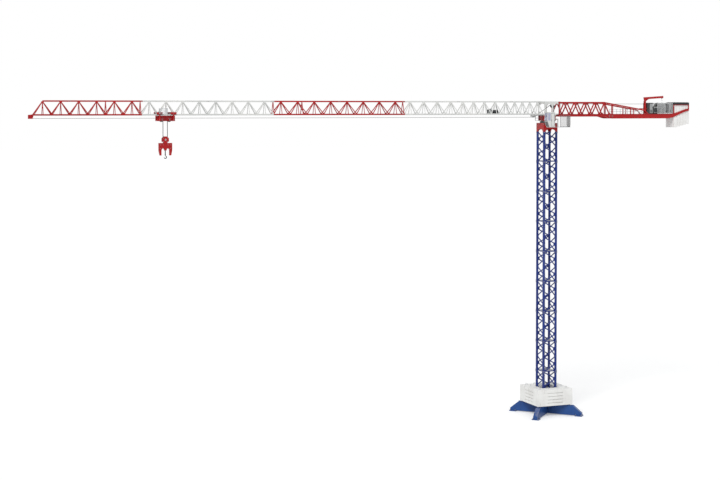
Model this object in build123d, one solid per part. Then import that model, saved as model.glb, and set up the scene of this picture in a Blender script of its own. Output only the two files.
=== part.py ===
from build123d import *
from math import asin, atan2, degrees, hypot, tan
import os

# Tower crane with a flat top, at one tenth of its real size. Lengths are in millimetres.
# The origin lies on the mast axis at ground level. The jib points along -X, the counter-jib
# along +X and the driver's cab hangs on the -Y side. The base arms lie on the diagonals.

# Running gaps
SEAT_GAP = 0.3
RUN_GAP = 0.5
CLEAR = 5

# Cross base
ARM_REACH = 576
ARM_WIDTH = 70
ARM_TOP = 155
ARM_END_HEIGHT = 50
ARM_TAPER = 130
FOOT_SIZE = 110
FOOT_THICKNESS = 12
FOOT_EDGE = 10
ANCHOR_BORE = 12
ANCHOR_SPACING = 84
ARM_LUG_LENGTH = 46
ARM_LUG_HEIGHT = 10
ARM_LUG_WIDTH = 20

# Concrete ballast round the mast foot
BALLAST_HALF = 300
BALLAST_DEPTH = 160
SLAB_HEIGHT = 50
SLAB_COUNT = 5
BEARER_HEIGHT = 20
BEARER_LENGTH = 150
BEARER_WIDTH = 60
JOINT_SLOT_LENGTH = 270
JOINT_SLOT_DEPTH = 12
JOINT_SLOT_HEIGHT = 8

# Mast
MAST_FOOT_HEIGHT = 50
MAST_FOOT_WIDTH = 44
CHORD_SPACING = 212
CHORD_WIDTH = 29
SECTION_HEIGHT = 468
SECTIONS_PER_PART = 3
BRACE_WIDTH = 12
ZIGZAG_BARS = 4
MAST_PARTS = ("mast_lower", "mast_middle", "mast_upper")
PLATFORM_THICKNESS = 3
PLATFORM_LIFT = 14
HATCH_WIDTH = 70
HATCH_DEPTH = 60
LADDER_WIDTH = 44
LADDER_RAIL = 4
RUNG_PITCH = 30
RUNG_WIDTH = 2.4

# Slewing unit
SUPPORT_HEIGHT = 135
SUPPORT_WALL = 12
ARCH_RISE = 41
ARCH_HALF_WIDTH = 86
RING_BORE = 150
RING_OUTER = 222
RING_HEIGHT = 28
RING_FLANGE_OUTER = 186
TOOTH_COUNT = 60
TOOTH_DEPTH = 4
TOOTH_GAP = 6.8
TOOTH_ANGLE = 70
FRAME_WIDTH = 200
FRAME_HEIGHT = 85
FRAME_WALL = 10

# Jib
JIB_CHORD = 14
JIB_HALF_WIDTH = 60
JIB_BRACE = 9
JIB_CHORD_LIFT = 20
JIB_DEPTH = 190
JIB_START = 430
JIB_PART_LENGTH = 2000
JIB_TIP_LENGTH = 1500
ROOT_PANELS = 2
INNER_PANELS = 10
OUTER_PANELS = 8
TIP_PANELS = 6
NOSE_LENGTH = 70
RAIL_WIDTH = 12
RAIL_THICKNESS = 3

# Turret between jib and counter-jib
TURRET_FRONT = 100
TURRET_REAR = 180
TURRET_BAR = 14
TURRET_HALF_WIDTH = 100
WINDOW_MARGIN = 35

# Driver's cab and its side platform
CAB_INNER_Y = -180
CAB_WIDTH = 100
CAB_REAR = -12
CAB_TOP_FRONT = -140
CAB_BOTTOM_FRONT = -106
CAB_DROP = 98
CAB_HEIGHT = 234
CAB_WAIST = 96
CAB_WALL = 4
GLASS_THICKNESS = 2
CAB_POST = 7
SIDE_WINDOW = 44
ARM_LIFT = 15
DECK_THICKNESS = 6
SIDE_DECK_END = 257
GUARD_HEIGHT = 173
GUARD_BAR = 5
GUARD_PITCH = 16
GUARD_CORNER = 40
GUARD_START = 80
BRACKET_HEIGHT = 20
SEAT_WIDTH = 40
SEAT_HEIGHT = 40
CUSHION = 10
FRONT_DECK_REACH = 76
FRONT_DECK_WIDTH = 120
RAIL_HEIGHT = 75

# Counter-jib
COUNTER_END = 2530
COUNTER_HALF_WIDTH = 120
COUNTER_BAR = 12
BEAM_THICKNESS = 14
BEAM_DEPTH = 29
DEEP_BEAM_START = 1050
DEEP_BEAM_DEPTH = 72
DEEP_BEAM_STEP = 60
POST_PLACES = (1137, 1532)
COUNTER_DEPTH = 182
TRUSS_END = 1040
TRUSS_BAYS = 5
SLOPE_END = 1740
SLOPE_END_DEPTH = 85
TAIL_START = 2180
TAIL_RISE = 46
TAIL_FACE = 2236
TAIL_ROUNDING = 400
TAIL_HEIGHT = 148
MACHINE_DECK_START = 1690
MACHINE_DECK_END = 2236
WALKWAY_WIDTH = 110
HANDRAIL_START = 1150
HANDRAIL_BAR = 5
HANDRAIL_BAYS = 4

# Hoist machinery on the counter-jib
DRUM_X = 2050
DRUM_HEIGHT = 94
DRUM_RADIUS = 62
DRUM_FLANGE_RADIUS = 88
DRUM_WIDTH = 130
FLANGE_THICKNESS = 8
WINCH_CHEEK = 8
CABINET_X = 1800
CABINET_LENGTH = 66
CABINET_WIDTH = 190
CABINET_AISLE = 22
CABINET_HEIGHT = 178
MOTOR_BLOCK_X = 1890
MOTOR_BLOCK_LENGTH = 60
MOTOR_BLOCK_HEIGHT = 120
REAR_BLOCK_X = 2160
REAR_BLOCK_LENGTH = 60

# Counterweights under the tail
WEIGHT_COUNT = 5
WEIGHT_PITCH = 57
WEIGHT_THICKNESS = 54
WEIGHT_WIDTH = 236
WEIGHT_FIRST_X = 2246
WEIGHT_DROP = 216
WEIGHT_RISE = 14
HANGER_BLOCK_HEIGHT = 34

# Davit over the machinery
DAVIT_X = 1716
DAVIT_Y = -90
DAVIT_POST = 22
DAVIT_POST_HEIGHT = 200
DAVIT_MAST_HEIGHT = 60
DAVIT_REACH = 333
DAVIT_BOOM = 16
DAVIT_RISE = 22
DAVIT_PIN = 6
DAVIT_PIN_DEPTH = 40
DAVIT_HOOK_DROP = 36

# Ropes and pulleys
ROPE = 3
ROPE_DROP = 49
ROPE_HALF_SPACING = 10
FALL_HALF_SPACING = 32
SHEAVE_RADIUS = 25
SHEAVE_WIDTH = 8
ROLLER_SIDES = 24
BORE_SIDES = 12
HEAD_PULLEY_X = 94
HEAD_PULLEY_RADIUS = 30
ROOT_PULLEY_X = -238
GUIDE_PULLEY_RADIUS = 22
NOSE_PULLEY_INSET = 34
TROLLEY_WINCH_X = 980
TROLLEY_WINCH_LENGTH = 110
TROLLEY_WINCH_WIDTH = 60
TROLLEY_WINCH_HEIGHT = 50
TROLLEY_DRUM_RADIUS = 22
TROLLEY_DRUM_WIDTH = 40
TROLLEY_DRUM_LIFT = 4

# Trolley
TROLLEY_X = -6090
TROLLEY_HALF_LENGTH = 130
TROLLEY_DROP = 6
TROLLEY_DEPTH = 77
TROLLEY_HALF_WIDTH = 48
PLATE = 6
BOGIE_SPACING = 100
BOGIE_CAP_LENGTH = 83
BOGIE_CAP_HEIGHT = 10
STEM_WIDTH = 20
WHEEL_RADIUS = 15
WHEEL_SPACING = 22
WHEEL_WIDTH = 8
AXLE_RADIUS = 3
TIE_WIDTH = 12
BASKET_WIDTH = 56
BASKET_LENGTH = 112
BASKET_LIFT = 10
BASKET_HEIGHT = 78

# Hook block and hook
BLOCK_DROP = 218
HOUSING_HEIGHT = 91
HOUSING_WIDTH = 94
HOUSING_CHAMFER = 25.4
BODY_HEIGHT = 106
BODY_WIDTH = 190
BODY_THICKNESS = 46
LEG_HEIGHT = 70
LEG_WIDTH = 22
LEG_INSET = 14
LEG_ARCH_X = 36
LEG_ARCH_RADIUS = 22
LEG_ARCH_RISE = 30
SHANK_RADIUS = 7
SHANK_DEPTH = 20
BLOCK_AXLE_DROP = 45
HOOK_HEIGHT = 117
HOOK_RADIUS = 18
HOOK_THICKNESS = 9
HOOK_MOUTH = 29
HOOK_NECK = 11

# Levels worked out from the driving dimensions
BALLAST_BOTTOM = ARM_TOP + BEARER_HEIGHT
MAST_BOTTOM = ARM_TOP + MAST_FOOT_HEIGHT
SECTION_COUNT = SECTIONS_PER_PART * len(MAST_PARTS)
MAST_TOP = MAST_BOTTOM + SECTION_COUNT * SECTION_HEIGHT
MAST_HALF = CHORD_SPACING / 2
MAST_OUTER = CHORD_SPACING + CHORD_WIDTH
SUPPORT_TOP = MAST_TOP + SUPPORT_HEIGHT
FRAME_BOTTOM = SUPPORT_TOP + RING_HEIGHT + CLEAR
FRAME_TOP = FRAME_BOTTOM + FRAME_HEIGHT
JIB_BOTTOM = FRAME_TOP + JIB_CHORD_LIFT
JIB_TOP = JIB_BOTTOM + JIB_DEPTH
ROPE_LEVEL = JIB_BOTTOM - ROPE_DROP
CAB_BOTTOM = FRAME_BOTTOM - CAB_DROP
CAB_OUTER_Y = CAB_INNER_Y - CAB_WIDTH
ARM_LEVEL = FRAME_BOTTOM + ARM_LIFT
GUARD_TOP = CAB_BOTTOM + DECK_THICKNESS + GUARD_HEIGHT
BEAM_TOP = JIB_BOTTOM
BEAM_BOTTOM = BEAM_TOP - BEAM_DEPTH
DEEP_BEAM_BOTTOM = BEAM_TOP - DEEP_BEAM_DEPTH
COUNTER_TOP = BEAM_TOP + COUNTER_DEPTH
SLOPE_END_TOP = BEAM_TOP + SLOPE_END_DEPTH
TAIL_BOTTOM = BEAM_TOP + TAIL_RISE
TAIL_TOP = BEAM_TOP + TAIL_HEIGHT
WEIGHT_FIRST_BOTTOM = BEAM_TOP - WEIGHT_DROP
DRUM_Z = BEAM_TOP + DRUM_HEIGHT
DAVIT_PIVOT_Z = BEAM_TOP + DAVIT_POST_HEIGHT
DAVIT_TOP = DAVIT_PIVOT_Z + DAVIT_MAST_HEIGHT
JIB_TIP_START = JIB_START + 3 * JIB_PART_LENGTH
JIB_TIP = JIB_TIP_START + JIB_TIP_LENGTH + NOSE_LENGTH
NOSE_PULLEY_X = NOSE_PULLEY_INSET - JIB_TIP
TROLLEY_TOP = JIB_BOTTOM - JIB_CHORD / 2 - TROLLEY_DROP
TROLLEY_BOTTOM = TROLLEY_TOP - TROLLEY_DEPTH
BASKET_FLOOR = JIB_BOTTOM + BASKET_LIFT
HOUSING_TOP = TROLLEY_BOTTOM - BLOCK_DROP
HOUSING_BOTTOM = HOUSING_TOP - HOUSING_HEIGHT
BODY_BOTTOM = HOUSING_BOTTOM - BODY_HEIGHT
LEG_BOTTOM = BODY_BOTTOM - LEG_HEIGHT
BLOCK_AXLE_Z = HOUSING_TOP - BLOCK_AXLE_DROP
HOOK_BOTTOM = BODY_BOTTOM - HOOK_HEIGHT
BOGIE_INNER = JIB_HALF_WIDTH + JIB_CHORD / 2 + RAIL_WIDTH + CLEAR
UPPER_ROPE = DRUM_Z + DRUM_RADIUS + ROPE
HEAD_PULLEY_Z = UPPER_ROPE - HEAD_PULLEY_RADIUS


def block(x0, x1, y0, y1, z0, z1):
    """Plain block between two opposite corners."""
    middle = Pos((x0 + x1) / 2, (y0 + y1) / 2, (z0 + z1) / 2)
    return middle * Box(abs(x1 - x0), abs(y1 - y0), abs(z1 - z0))


def bars(lines, width):
    """Flat drawing of straight bars of one width, fused where they cross."""
    pieces = []
    for (ax, ay), (bx, by) in lines:
        turn = degrees(atan2(by - ay, bx - ax))
        length = hypot(bx - ax, by - ay) + width / 2
        pieces.append(Pos((ax + bx) / 2, (ay + by) / 2) * Rot(0, 0, turn) * Rectangle(length, width))
    return Sketch() + pieces


def upright(drawing, y, thickness):
    """Drawing in X and Z, given a thickness about the plane at y."""
    return Pos(0, y, 0) * extrude(Plane.XZ * drawing, amount=thickness / 2, both=True)


def crosswise(drawing, x, thickness):
    """Drawing in Y and Z, given a thickness about the plane at x."""
    return Pos(x, 0, 0) * extrude(Plane.YZ * drawing, amount=thickness / 2, both=True)


def round_bar(radius, x, z, y0, y1):
    """Pin, axle or drum that lies along Y between two ends."""
    return Pos(x, (y0 + y1) / 2, z) * Rot(90, 0, 0) * Cylinder(radius, abs(y1 - y0))


def roller(radius, width, sides=ROLLER_SIDES):
    """Disc about Y at the origin, with few enough sides for a small wheel."""
    return upright(RegularPolygon(radius, sides), 0, width)


def quarter_turns(shape):
    """The shape and its three copies, each a quarter turn further about the mast axis."""
    return [Rot(0, 0, 90 * k) * shape for k in range(4)]


def write(name, *shapes):
    """One STEP file for one named piece of the crane."""
    solids = [solid for shape in shapes for solid in shape.solids()]
    export_step(solids[0] if len(solids) == 1 else Compound(children=solids), f"parts/{name}.step")


def arm_outline(start, end):
    """Side view of a base arm, from the start to an end that slopes down to its tip."""
    points = [(start, FOOT_THICKNESS), (end, FOOT_THICKNESS), (end, ARM_END_HEIGHT),
              (end - ARM_TAPER, ARM_TOP), (start, ARM_TOP)]
    return make_face(Polyline(*points, close=True))


def base_beams():
    """Long beam on one diagonal and two half beams against its flanks, each arm with a lifting lug."""
    end = ARM_REACH - ARM_TAPER
    lug = block(end - ARM_LUG_LENGTH, end, -ARM_LUG_WIDTH / 2, ARM_LUG_WIDTH / 2,
                ARM_TOP, ARM_TOP + ARM_LUG_HEIGHT)
    half = upright(arm_outline(0, ARM_REACH), 0, ARM_WIDTH) + lug
    long_beam = Rot(0, 0, 45) * (half + Rot(0, 0, 180) * half)
    short = upright(arm_outline(ARM_WIDTH / 2, ARM_REACH), 0, ARM_WIDTH) + lug
    return long_beam, [Rot(0, 0, 135) * short, Rot(0, 0, -45) * short]


def foot_plates():
    """Square plates under the arm ends, each with two anchor holes on either side of its arm."""
    centre = ARM_REACH + FOOT_EDGE - FOOT_SIZE / 2
    half = ANCHOR_SPACING / 2
    plate = Pos(centre, 0, FOOT_THICKNESS / 2) * Box(FOOT_SIZE, FOOT_SIZE, FOOT_THICKNESS)
    for x in (centre - half, centre + half):
        for y in (-half, half):
            plate -= Pos(x, y, 0) * Cylinder(ANCHOR_BORE / 2, 3 * FOOT_THICKNESS)
    return quarter_turns(Rot(0, 0, 45) * plate)


def mast_feet():
    """Four blocks that stand on the beams and carry the mast chords."""
    foot = block(MAST_HALF - MAST_FOOT_WIDTH / 2, MAST_HALF + MAST_FOOT_WIDTH / 2,
                 MAST_HALF - MAST_FOOT_WIDTH / 2, MAST_HALF + MAST_FOOT_WIDTH / 2, ARM_TOP, MAST_BOTTOM)
    return quarter_turns(foot)


def ballast_bearers():
    """Low blocks on the arms under the corners of the ballast."""
    reach = (BALLAST_HALF - BALLAST_DEPTH / 2) * 2 ** 0.5
    bearer = block(reach - BEARER_LENGTH / 2, reach + BEARER_LENGTH / 2,
                   -BEARER_WIDTH / 2, BEARER_WIDTH / 2, ARM_TOP, BALLAST_BOTTOM)
    return quarter_turns(Rot(0, 0, 45) * bearer)


def ballast_side(half_length, turn):
    """A stack of slabs along one side, each with a shallow slot above its outer face."""
    top = SLAB_HEIGHT - SEAT_GAP
    slab = block(-half_length, half_length, -BALLAST_HALF, BALLAST_DEPTH - BALLAST_HALF, 0, top)
    slot = block(-JOINT_SLOT_LENGTH / 2, JOINT_SLOT_LENGTH / 2, -BALLAST_HALF - 1,
                 JOINT_SLOT_DEPTH - BALLAST_HALF, top - JOINT_SLOT_HEIGHT, SLAB_HEIGHT)
    cut_slab = slab - slot
    stack = []
    for k in range(SLAB_COUNT):
        shape = slab if k == SLAB_COUNT - 1 else cut_slab
        stack.append(Rot(0, 0, turn) * Pos(0, 0, BALLAST_BOTTOM + k * SLAB_HEIGHT) * shape)
    return stack


def mast_part():
    """Some mast sections: four flat sides, each a chord with its zigzag and a ring bar per section."""
    inner = MAST_HALF - CHORD_WIDTH / 2
    height = SECTIONS_PER_PART * SECTION_HEIGHT
    step = SECTION_HEIGHT / ZIGZAG_BARS
    ends = [((-1) ** (k + 1) * MAST_HALF, k * step) for k in range(ZIGZAG_BARS * SECTIONS_PER_PART + 1)]
    lines = list(zip(ends[:-1], ends[1:]))
    for k in range(SECTIONS_PER_PART):
        z = k * SECTION_HEIGHT + BRACE_WIDTH / 2
        lines.append(((-MAST_HALF, z), (MAST_HALF, z)))
    window = Pos(-SEAT_GAP / 2, height / 2) * Rectangle(2 * inner - SEAT_GAP, height)
    infill = upright(bars(lines, BRACE_WIDTH) & window, -MAST_HALF, BRACE_WIDTH)
    chord = block(-MAST_HALF - CHORD_WIDTH / 2, -inner, -MAST_HALF - CHORD_WIDTH / 2, -inner, 0, height)
    return quarter_turns(chord + infill)


def mast_platform(level):
    """Rest platform inside a section joint, with a hatch for the ladder."""
    half = MAST_HALF - BRACE_WIDTH / 2 - SEAT_GAP
    corner = MAST_HALF - CHORD_WIDTH / 2 - SEAT_GAP
    plate = block(-half, half, -corner, corner, level, level + PLATFORM_THICKNESS)
    plate += block(-corner, corner, -half, half, level, level + PLATFORM_THICKNESS)
    hatch = block(-HATCH_WIDTH / 2, HATCH_WIDTH / 2, corner - HATCH_DEPTH, corner - CLEAR,
                  level - 1, level + PLATFORM_THICKNESS + 1)
    return plate - hatch


def ladder(z0, z1):
    """Ladder in the hatches: two rails, with rungs fused to their inner sides."""
    y = MAST_HALF - CHORD_WIDTH / 2 - CLEAR - 2 * SEAT_GAP - LADDER_RAIL / 2
    half = LADDER_WIDTH / 2
    lines = [((side * half, z0), (side * half, z1)) for side in (-1, 1)]
    rails = upright(bars(lines, LADDER_RAIL), y, LADDER_RAIL)
    count = int((z1 - z0) // RUNG_PITCH)
    rungs = [((-half, z0 + (k + 0.5) * RUNG_PITCH), (half, z0 + (k + 0.5) * RUNG_PITCH))
             for k in range(count)]
    return rails + upright(bars(rungs, RUNG_WIDTH), y, RUNG_WIDTH)


def slewing_support():
    """Square box on the mast with an arch through each wall and a bored top plate."""
    middle = Pos(0, 0, MAST_TOP + SUPPORT_HEIGHT / 2)
    body = middle * Box(MAST_OUTER, MAST_OUTER, SUPPORT_HEIGHT)
    body -= Pos(0, 0, -SUPPORT_WALL) * middle * Box(
        MAST_OUTER - 2 * SUPPORT_WALL, MAST_OUTER - 2 * SUPPORT_WALL, SUPPORT_HEIGHT)
    body -= Pos(0, 0, SUPPORT_TOP) * Cylinder(RING_BORE / 2, 3 * SUPPORT_WALL)
    arch = upright(Pos(0, MAST_TOP) * Ellipse(ARCH_HALF_WIDTH, ARCH_RISE), 0, 2 * MAST_OUTER)
    return body - arch - Rot(0, 0, 90) * arch


def slewing_rings():
    """Toothed outer ring on the support, and the inner ring that turns inside it."""
    bore = RING_FLANGE_OUTER / 2 + RUN_GAP
    outer = Pos(0, 0, SUPPORT_TOP + RING_HEIGHT / 2) * Cylinder(RING_OUTER / 2, RING_HEIGHT)
    outer -= Pos(0, 0, SUPPORT_TOP) * Cylinder(bore, 3 * RING_HEIGHT)
    pitch = 360 / TOOTH_COUNT
    gap = Trapezoid(TOOTH_GAP, TOOTH_DEPTH, TOOTH_ANGLE)
    gaps = [Rot(0, 0, k * pitch) * Pos(0, RING_OUTER / 2 - TOOTH_DEPTH / 2) * Rot(0, 0, 180) * gap
            for k in range(TOOTH_COUNT)]
    outer -= Pos(0, 0, SUPPORT_TOP - 1) * extrude(Sketch() + gaps, amount=RING_HEIGHT + 2)
    inner_bottom = SUPPORT_TOP + CLEAR
    middle = (inner_bottom + FRAME_BOTTOM) / 2
    inner = Pos(0, 0, middle) * Cylinder(RING_FLANGE_OUTER / 2, FRAME_BOTTOM - inner_bottom)
    inner -= Pos(0, 0, middle) * Cylinder(RING_BORE / 2, 3 * RING_HEIGHT)
    return outer, inner


def slewing_frame():
    """Square turning box over the ring, open in the middle for the way up."""
    middle = Pos(0, 0, FRAME_BOTTOM + FRAME_HEIGHT / 2)
    body = middle * Box(FRAME_WIDTH, FRAME_WIDTH, FRAME_HEIGHT)
    hollow = middle * Box(FRAME_WIDTH - 2 * FRAME_WALL, FRAME_WIDTH - 2 * FRAME_WALL,
                          FRAME_HEIGHT - 2 * FRAME_WALL)
    return body - hollow - middle * Cylinder(RING_BORE / 2 - FRAME_WALL, 2 * FRAME_HEIGHT)


def turret():
    """Plated sides with two arched windows each, joined by beams at the front and rear."""
    low = JIB_BOTTOM - TURRET_BAR / 2
    high = JIB_TOP + TURRET_BAR / 2
    length = TURRET_FRONT + TURRET_REAR
    pitch = (length - TURRET_BAR) / 2
    radius = (pitch - TURRET_BAR) / 2
    side = Pos((TURRET_REAR - TURRET_FRONT) / 2, (low + high) / 2) * Rectangle(length, high - low)
    for k in range(2):
        x = TURRET_BAR - TURRET_FRONT + radius + k * pitch
        crown = high - WINDOW_MARGIN - radius
        side -= Pos(x, crown) * Circle(radius)
        side -= Pos(x, (low + TURRET_BAR + crown) / 2) * Rectangle(2 * radius, crown - low - TURRET_BAR)
    pieces = [upright(side, sign * TURRET_HALF_WIDTH, TURRET_BAR) for sign in (-1, 1)]
    inner = TURRET_HALF_WIDTH - TURRET_BAR / 2 - SEAT_GAP
    for z in (JIB_BOTTOM, JIB_TOP):
        for x in (-TURRET_FRONT, TURRET_REAR - TURRET_BAR):
            pieces.append(block(x, x + TURRET_BAR, -inner, inner, z - TURRET_BAR / 2, z + TURRET_BAR / 2))
    return pieces


def turret_base():
    """Bored plate that seats the turret on the slewing frame."""
    half = TURRET_HALF_WIDTH + TURRET_BAR / 2
    plate = block(-FRAME_WIDTH / 2, FRAME_WIDTH / 2, -half, half, FRAME_TOP, JIB_BOTTOM - TURRET_BAR / 2)
    return plate - Pos(0, 0, FRAME_TOP) * Cylinder(RING_BORE / 2 - FRAME_WALL, 4 * TURRET_BAR)


def jib_part(start, length, panels, is_tip=False):
    """Three chords and two leaning lattice sides between x = -start and x = -start - length."""
    pitch = length / panels
    slope = hypot(JIB_HALF_WIDTH, JIB_DEPTH)
    lines = []
    for k in range(panels):
        foot = -k * pitch
        top = foot - pitch / 2
        lines += [((foot, 0), (top, slope)), ((top, slope), (top, 0)), ((top, slope), (foot - pitch, 0))]
        if k % 2 == 0:
            lines.append(((foot - JIB_BRACE / 2, 0), (foot - JIB_BRACE / 2, slope)))
    window = Pos(-length / 2, slope / 2) * Rectangle(length, slope + JIB_CHORD)
    drawing = bars(lines, JIB_BRACE) & window
    half = JIB_CHORD / 2
    top_length = length - pitch / 2 if is_tip else length
    shape = block(-top_length, 0, -half, half, JIB_TOP - half, JIB_TOP + half)
    for side in (-1, 1):
        foot_line = (0, side * JIB_HALF_WIDTH, JIB_BOTTOM)
        plane = Plane(origin=foot_line, x_dir=(1, 0, 0), z_dir=(0, -JIB_DEPTH, -side * JIB_HALF_WIDTH))
        shape += extrude(plane * drawing, amount=JIB_BRACE / 2, both=True)
        inner = side * (JIB_HALF_WIDTH - half)
        outer = side * (JIB_HALF_WIDTH + half)
        shape += block(-length, 0, inner, outer, JIB_BOTTOM - half, JIB_BOTTOM + half)
        shape += block(-length, 0, outer, outer + side * RAIL_WIDTH,
                       JIB_BOTTOM - half, JIB_BOTTOM - half + RAIL_THICKNESS)
    gap = JIB_HALF_WIDTH - half
    for k in range(panels):
        x = -k * pitch
        shape += block(x - JIB_BRACE, x, -gap, gap, JIB_BOTTOM - JIB_BRACE / 2, JIB_BOTTOM + JIB_BRACE / 2)
    return Pos(-start, 0, 0) * shape


def pulley(x, y, z, rope_radius):
    """Grooved wheel about Y whose rope runs at the given radius."""
    wheel = roller(rope_radius + ROPE, SHEAVE_WIDTH) - roller(rope_radius + 2 * ROPE, ROPE + 2 * RUN_GAP)
    core = roller(rope_radius - ROPE / 2 - RUN_GAP, SHEAVE_WIDTH)
    bore = roller(AXLE_RADIUS + 2 * SEAT_GAP, 2 * SHEAVE_WIDTH, BORE_SIDES)
    return Pos(x, y, z) * (wheel + core - bore)


def pulley_pair(x, z, rope_radius):
    """Two pulleys side by side, over the two lines of rope."""
    return [pulley(x, side * ROPE_HALF_SPACING, z, rope_radius) for side in (-1, 1)]


def jib_nose():
    """End beam between the bottom chords, with two cheeks for the nose pulleys."""
    start = NOSE_LENGTH - JIB_TIP
    half = JIB_CHORD / 2
    outer = JIB_HALF_WIDTH + half
    beam = block(start - JIB_CHORD, start, -outer, outer, JIB_BOTTOM - half, JIB_BOTTOM + half)
    low = ROPE_LEVEL - CLEAR
    cheek = make_face(Polyline((start, JIB_BOTTOM - half), (start, JIB_BOTTOM + half),
                               (-JIB_TIP, JIB_BOTTOM), (-JIB_TIP, low), (start - JIB_CHORD, low), close=True))
    y = ROPE_HALF_SPACING + SHEAVE_WIDTH
    axle_z = ROPE_LEVEL + GUIDE_PULLEY_RADIUS
    pieces = beam
    for side in (-1, 1):
        pieces += upright(cheek, side * (y + PLATE / 2), PLATE)
    pieces += round_bar(AXLE_RADIUS, NOSE_PULLEY_X, axle_z, -y, y)
    return pieces


def rope_run(points, y):
    """Taut rope of square section through points in X and Z, fused where it turns."""
    lines = list(zip(points[:-1], points[1:]))
    return upright(bars(lines, ROPE), y, ROPE)


def hoist_rope():
    """Two lines from the winch over the head pulley and along under the jib to the nose."""
    run = HEAD_PULLEY_X - ROOT_PULLEY_X
    rise = HEAD_PULLEY_Z - ROPE_LEVEL - GUIDE_PULLEY_RADIUS
    turn = atan2(rise, run) + asin((HEAD_PULLEY_RADIUS + GUIDE_PULLEY_RADIUS) / hypot(run, rise))
    points = [(NOSE_PULLEY_X, ROPE_LEVEL), (ROOT_PULLEY_X + GUIDE_PULLEY_RADIUS * tan(turn / 2), ROPE_LEVEL),
              (HEAD_PULLEY_X - HEAD_PULLEY_RADIUS * tan(turn / 2), UPPER_ROPE), (DRUM_X, UPPER_ROPE)]
    return [rope_run(points, side * ROPE_HALF_SPACING) for side in (-1, 1)]


def head_pulley_bracket():
    """Cross beam at the top of the turret with two cheeks that hold the head pulleys."""
    inner = TURRET_HALF_WIDTH - TURRET_BAR / 2
    half = TURRET_BAR / 2
    shape = block(HEAD_PULLEY_X - half, HEAD_PULLEY_X + half, -inner, inner, JIB_TOP - half, JIB_TOP + half)
    y = ROPE_HALF_SPACING + SHEAVE_WIDTH
    for side in (-1, 1):
        shape += block(HEAD_PULLEY_X - half, HEAD_PULLEY_X + half, side * y, side * (y + PLATE),
                       HEAD_PULLEY_Z - half, JIB_TOP)
    return shape + round_bar(AXLE_RADIUS, HEAD_PULLEY_X, HEAD_PULLEY_Z, -y, y)


def root_pulley_bracket():
    """Two cheeks under a cross bar of the jib root, with the axle of the guide pulleys."""
    y = ROPE_HALF_SPACING + SHEAVE_WIDTH
    z = ROPE_LEVEL + GUIDE_PULLEY_RADIUS
    shape = round_bar(AXLE_RADIUS, ROOT_PULLEY_X, z, -y, y)
    for side in (-1, 1):
        shape += block(ROOT_PULLEY_X - 3 * TURRET_BAR, ROOT_PULLEY_X + TURRET_BAR, side * y,
                       side * (y + PLATE), z - TURRET_BAR, JIB_BOTTOM - JIB_BRACE / 2)
    return shape


def trolley_winch():
    """Small drum in a box frame that stands on the jib's cross bars near the mast."""
    z0 = JIB_BOTTOM + JIB_BRACE / 2
    x = -TROLLEY_WINCH_X
    half = TROLLEY_WINCH_LENGTH / 2
    edge = TROLLEY_WINCH_WIDTH / 2
    inner = TROLLEY_DRUM_WIDTH / 2
    drum_z = z0 + PLATE + TROLLEY_DRUM_LIFT + TROLLEY_DRUM_RADIUS
    shape = block(x - half, x + half, -edge, edge, z0, z0 + PLATE)
    shape += round_bar(TROLLEY_DRUM_RADIUS, x, drum_z, -inner, inner)
    for side in (-1, 1):
        shape += block(x - half, x + half, side * inner, side * (inner + PLATE),
                       z0, z0 + TROLLEY_WINCH_HEIGHT)
    return shape


def cab_outline():
    """Side view of the cab, whose front leans in below the waist."""
    top = CAB_BOTTOM + CAB_HEIGHT
    return make_face(Polyline((CAB_REAR, CAB_BOTTOM), (CAB_REAR, top), (CAB_TOP_FRONT, top),
                              (CAB_TOP_FRONT, CAB_BOTTOM + CAB_WAIST), (CAB_BOTTOM_FRONT, CAB_BOTTOM),
                              close=True))


def cab_parts():
    """Cab shell with window openings, and the panes that fill them."""
    middle = (CAB_INNER_Y + CAB_OUTER_Y) / 2
    solid = upright(cab_outline(), middle, CAB_WIDTH)
    hollow = upright(offset(cab_outline(), amount=-CAB_WALL), middle, CAB_WIDTH - 2 * CAB_WALL)
    behind = upright(offset(cab_outline(), amount=-GLASS_THICKNESS), middle,
                     CAB_WIDTH - 2 * GLASS_THICKNESS)
    y0 = CAB_OUTER_Y + CAB_POST
    y1 = CAB_INNER_Y - CAB_POST
    waist = CAB_BOTTOM + CAB_WAIST
    top = CAB_BOTTOM + CAB_HEIGHT - 2 * CAB_POST
    low = CAB_BOTTOM + CAB_POST
    nose = CAB_TOP_FRONT - 1
    front = block(nose, CAB_TOP_FRONT + CAB_WALL, y0, y1, waist + CAB_POST, top)
    lower = block(nose, CAB_BOTTOM_FRONT + CAB_WALL, y0, y1, low, waist - CAB_POST)
    side_front = CAB_TOP_FRONT + CAB_POST
    sides = block(side_front, side_front + SIDE_WINDOW, CAB_OUTER_Y - 1, CAB_INNER_Y + 1,
                  waist + CAB_POST, top)
    openings = front + lower + sides
    return solid - hollow - openings, (solid - behind) & openings


def cab_seat():
    """Driver's seat on a pedestal on the cab floor."""
    middle = (CAB_INNER_Y + CAB_OUTER_Y) / 2
    half = SEAT_WIDTH / 2
    floor = CAB_BOTTOM + CAB_WALL
    cushion = floor + SEAT_HEIGHT
    x = CAB_REAR - CAB_WALL - SEAT_WIDTH
    shape = block(x - half / 2, x + half / 2, middle - half / 2, middle + half / 2, floor, cushion)
    shape += block(x - half, x + half, middle - half, middle + half, cushion, cushion + CUSHION)
    return shape + block(x + half - CUSHION, x + half, middle - half, middle + half,
                         cushion, cushion + SEAT_WIDTH + CUSHION)


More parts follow.
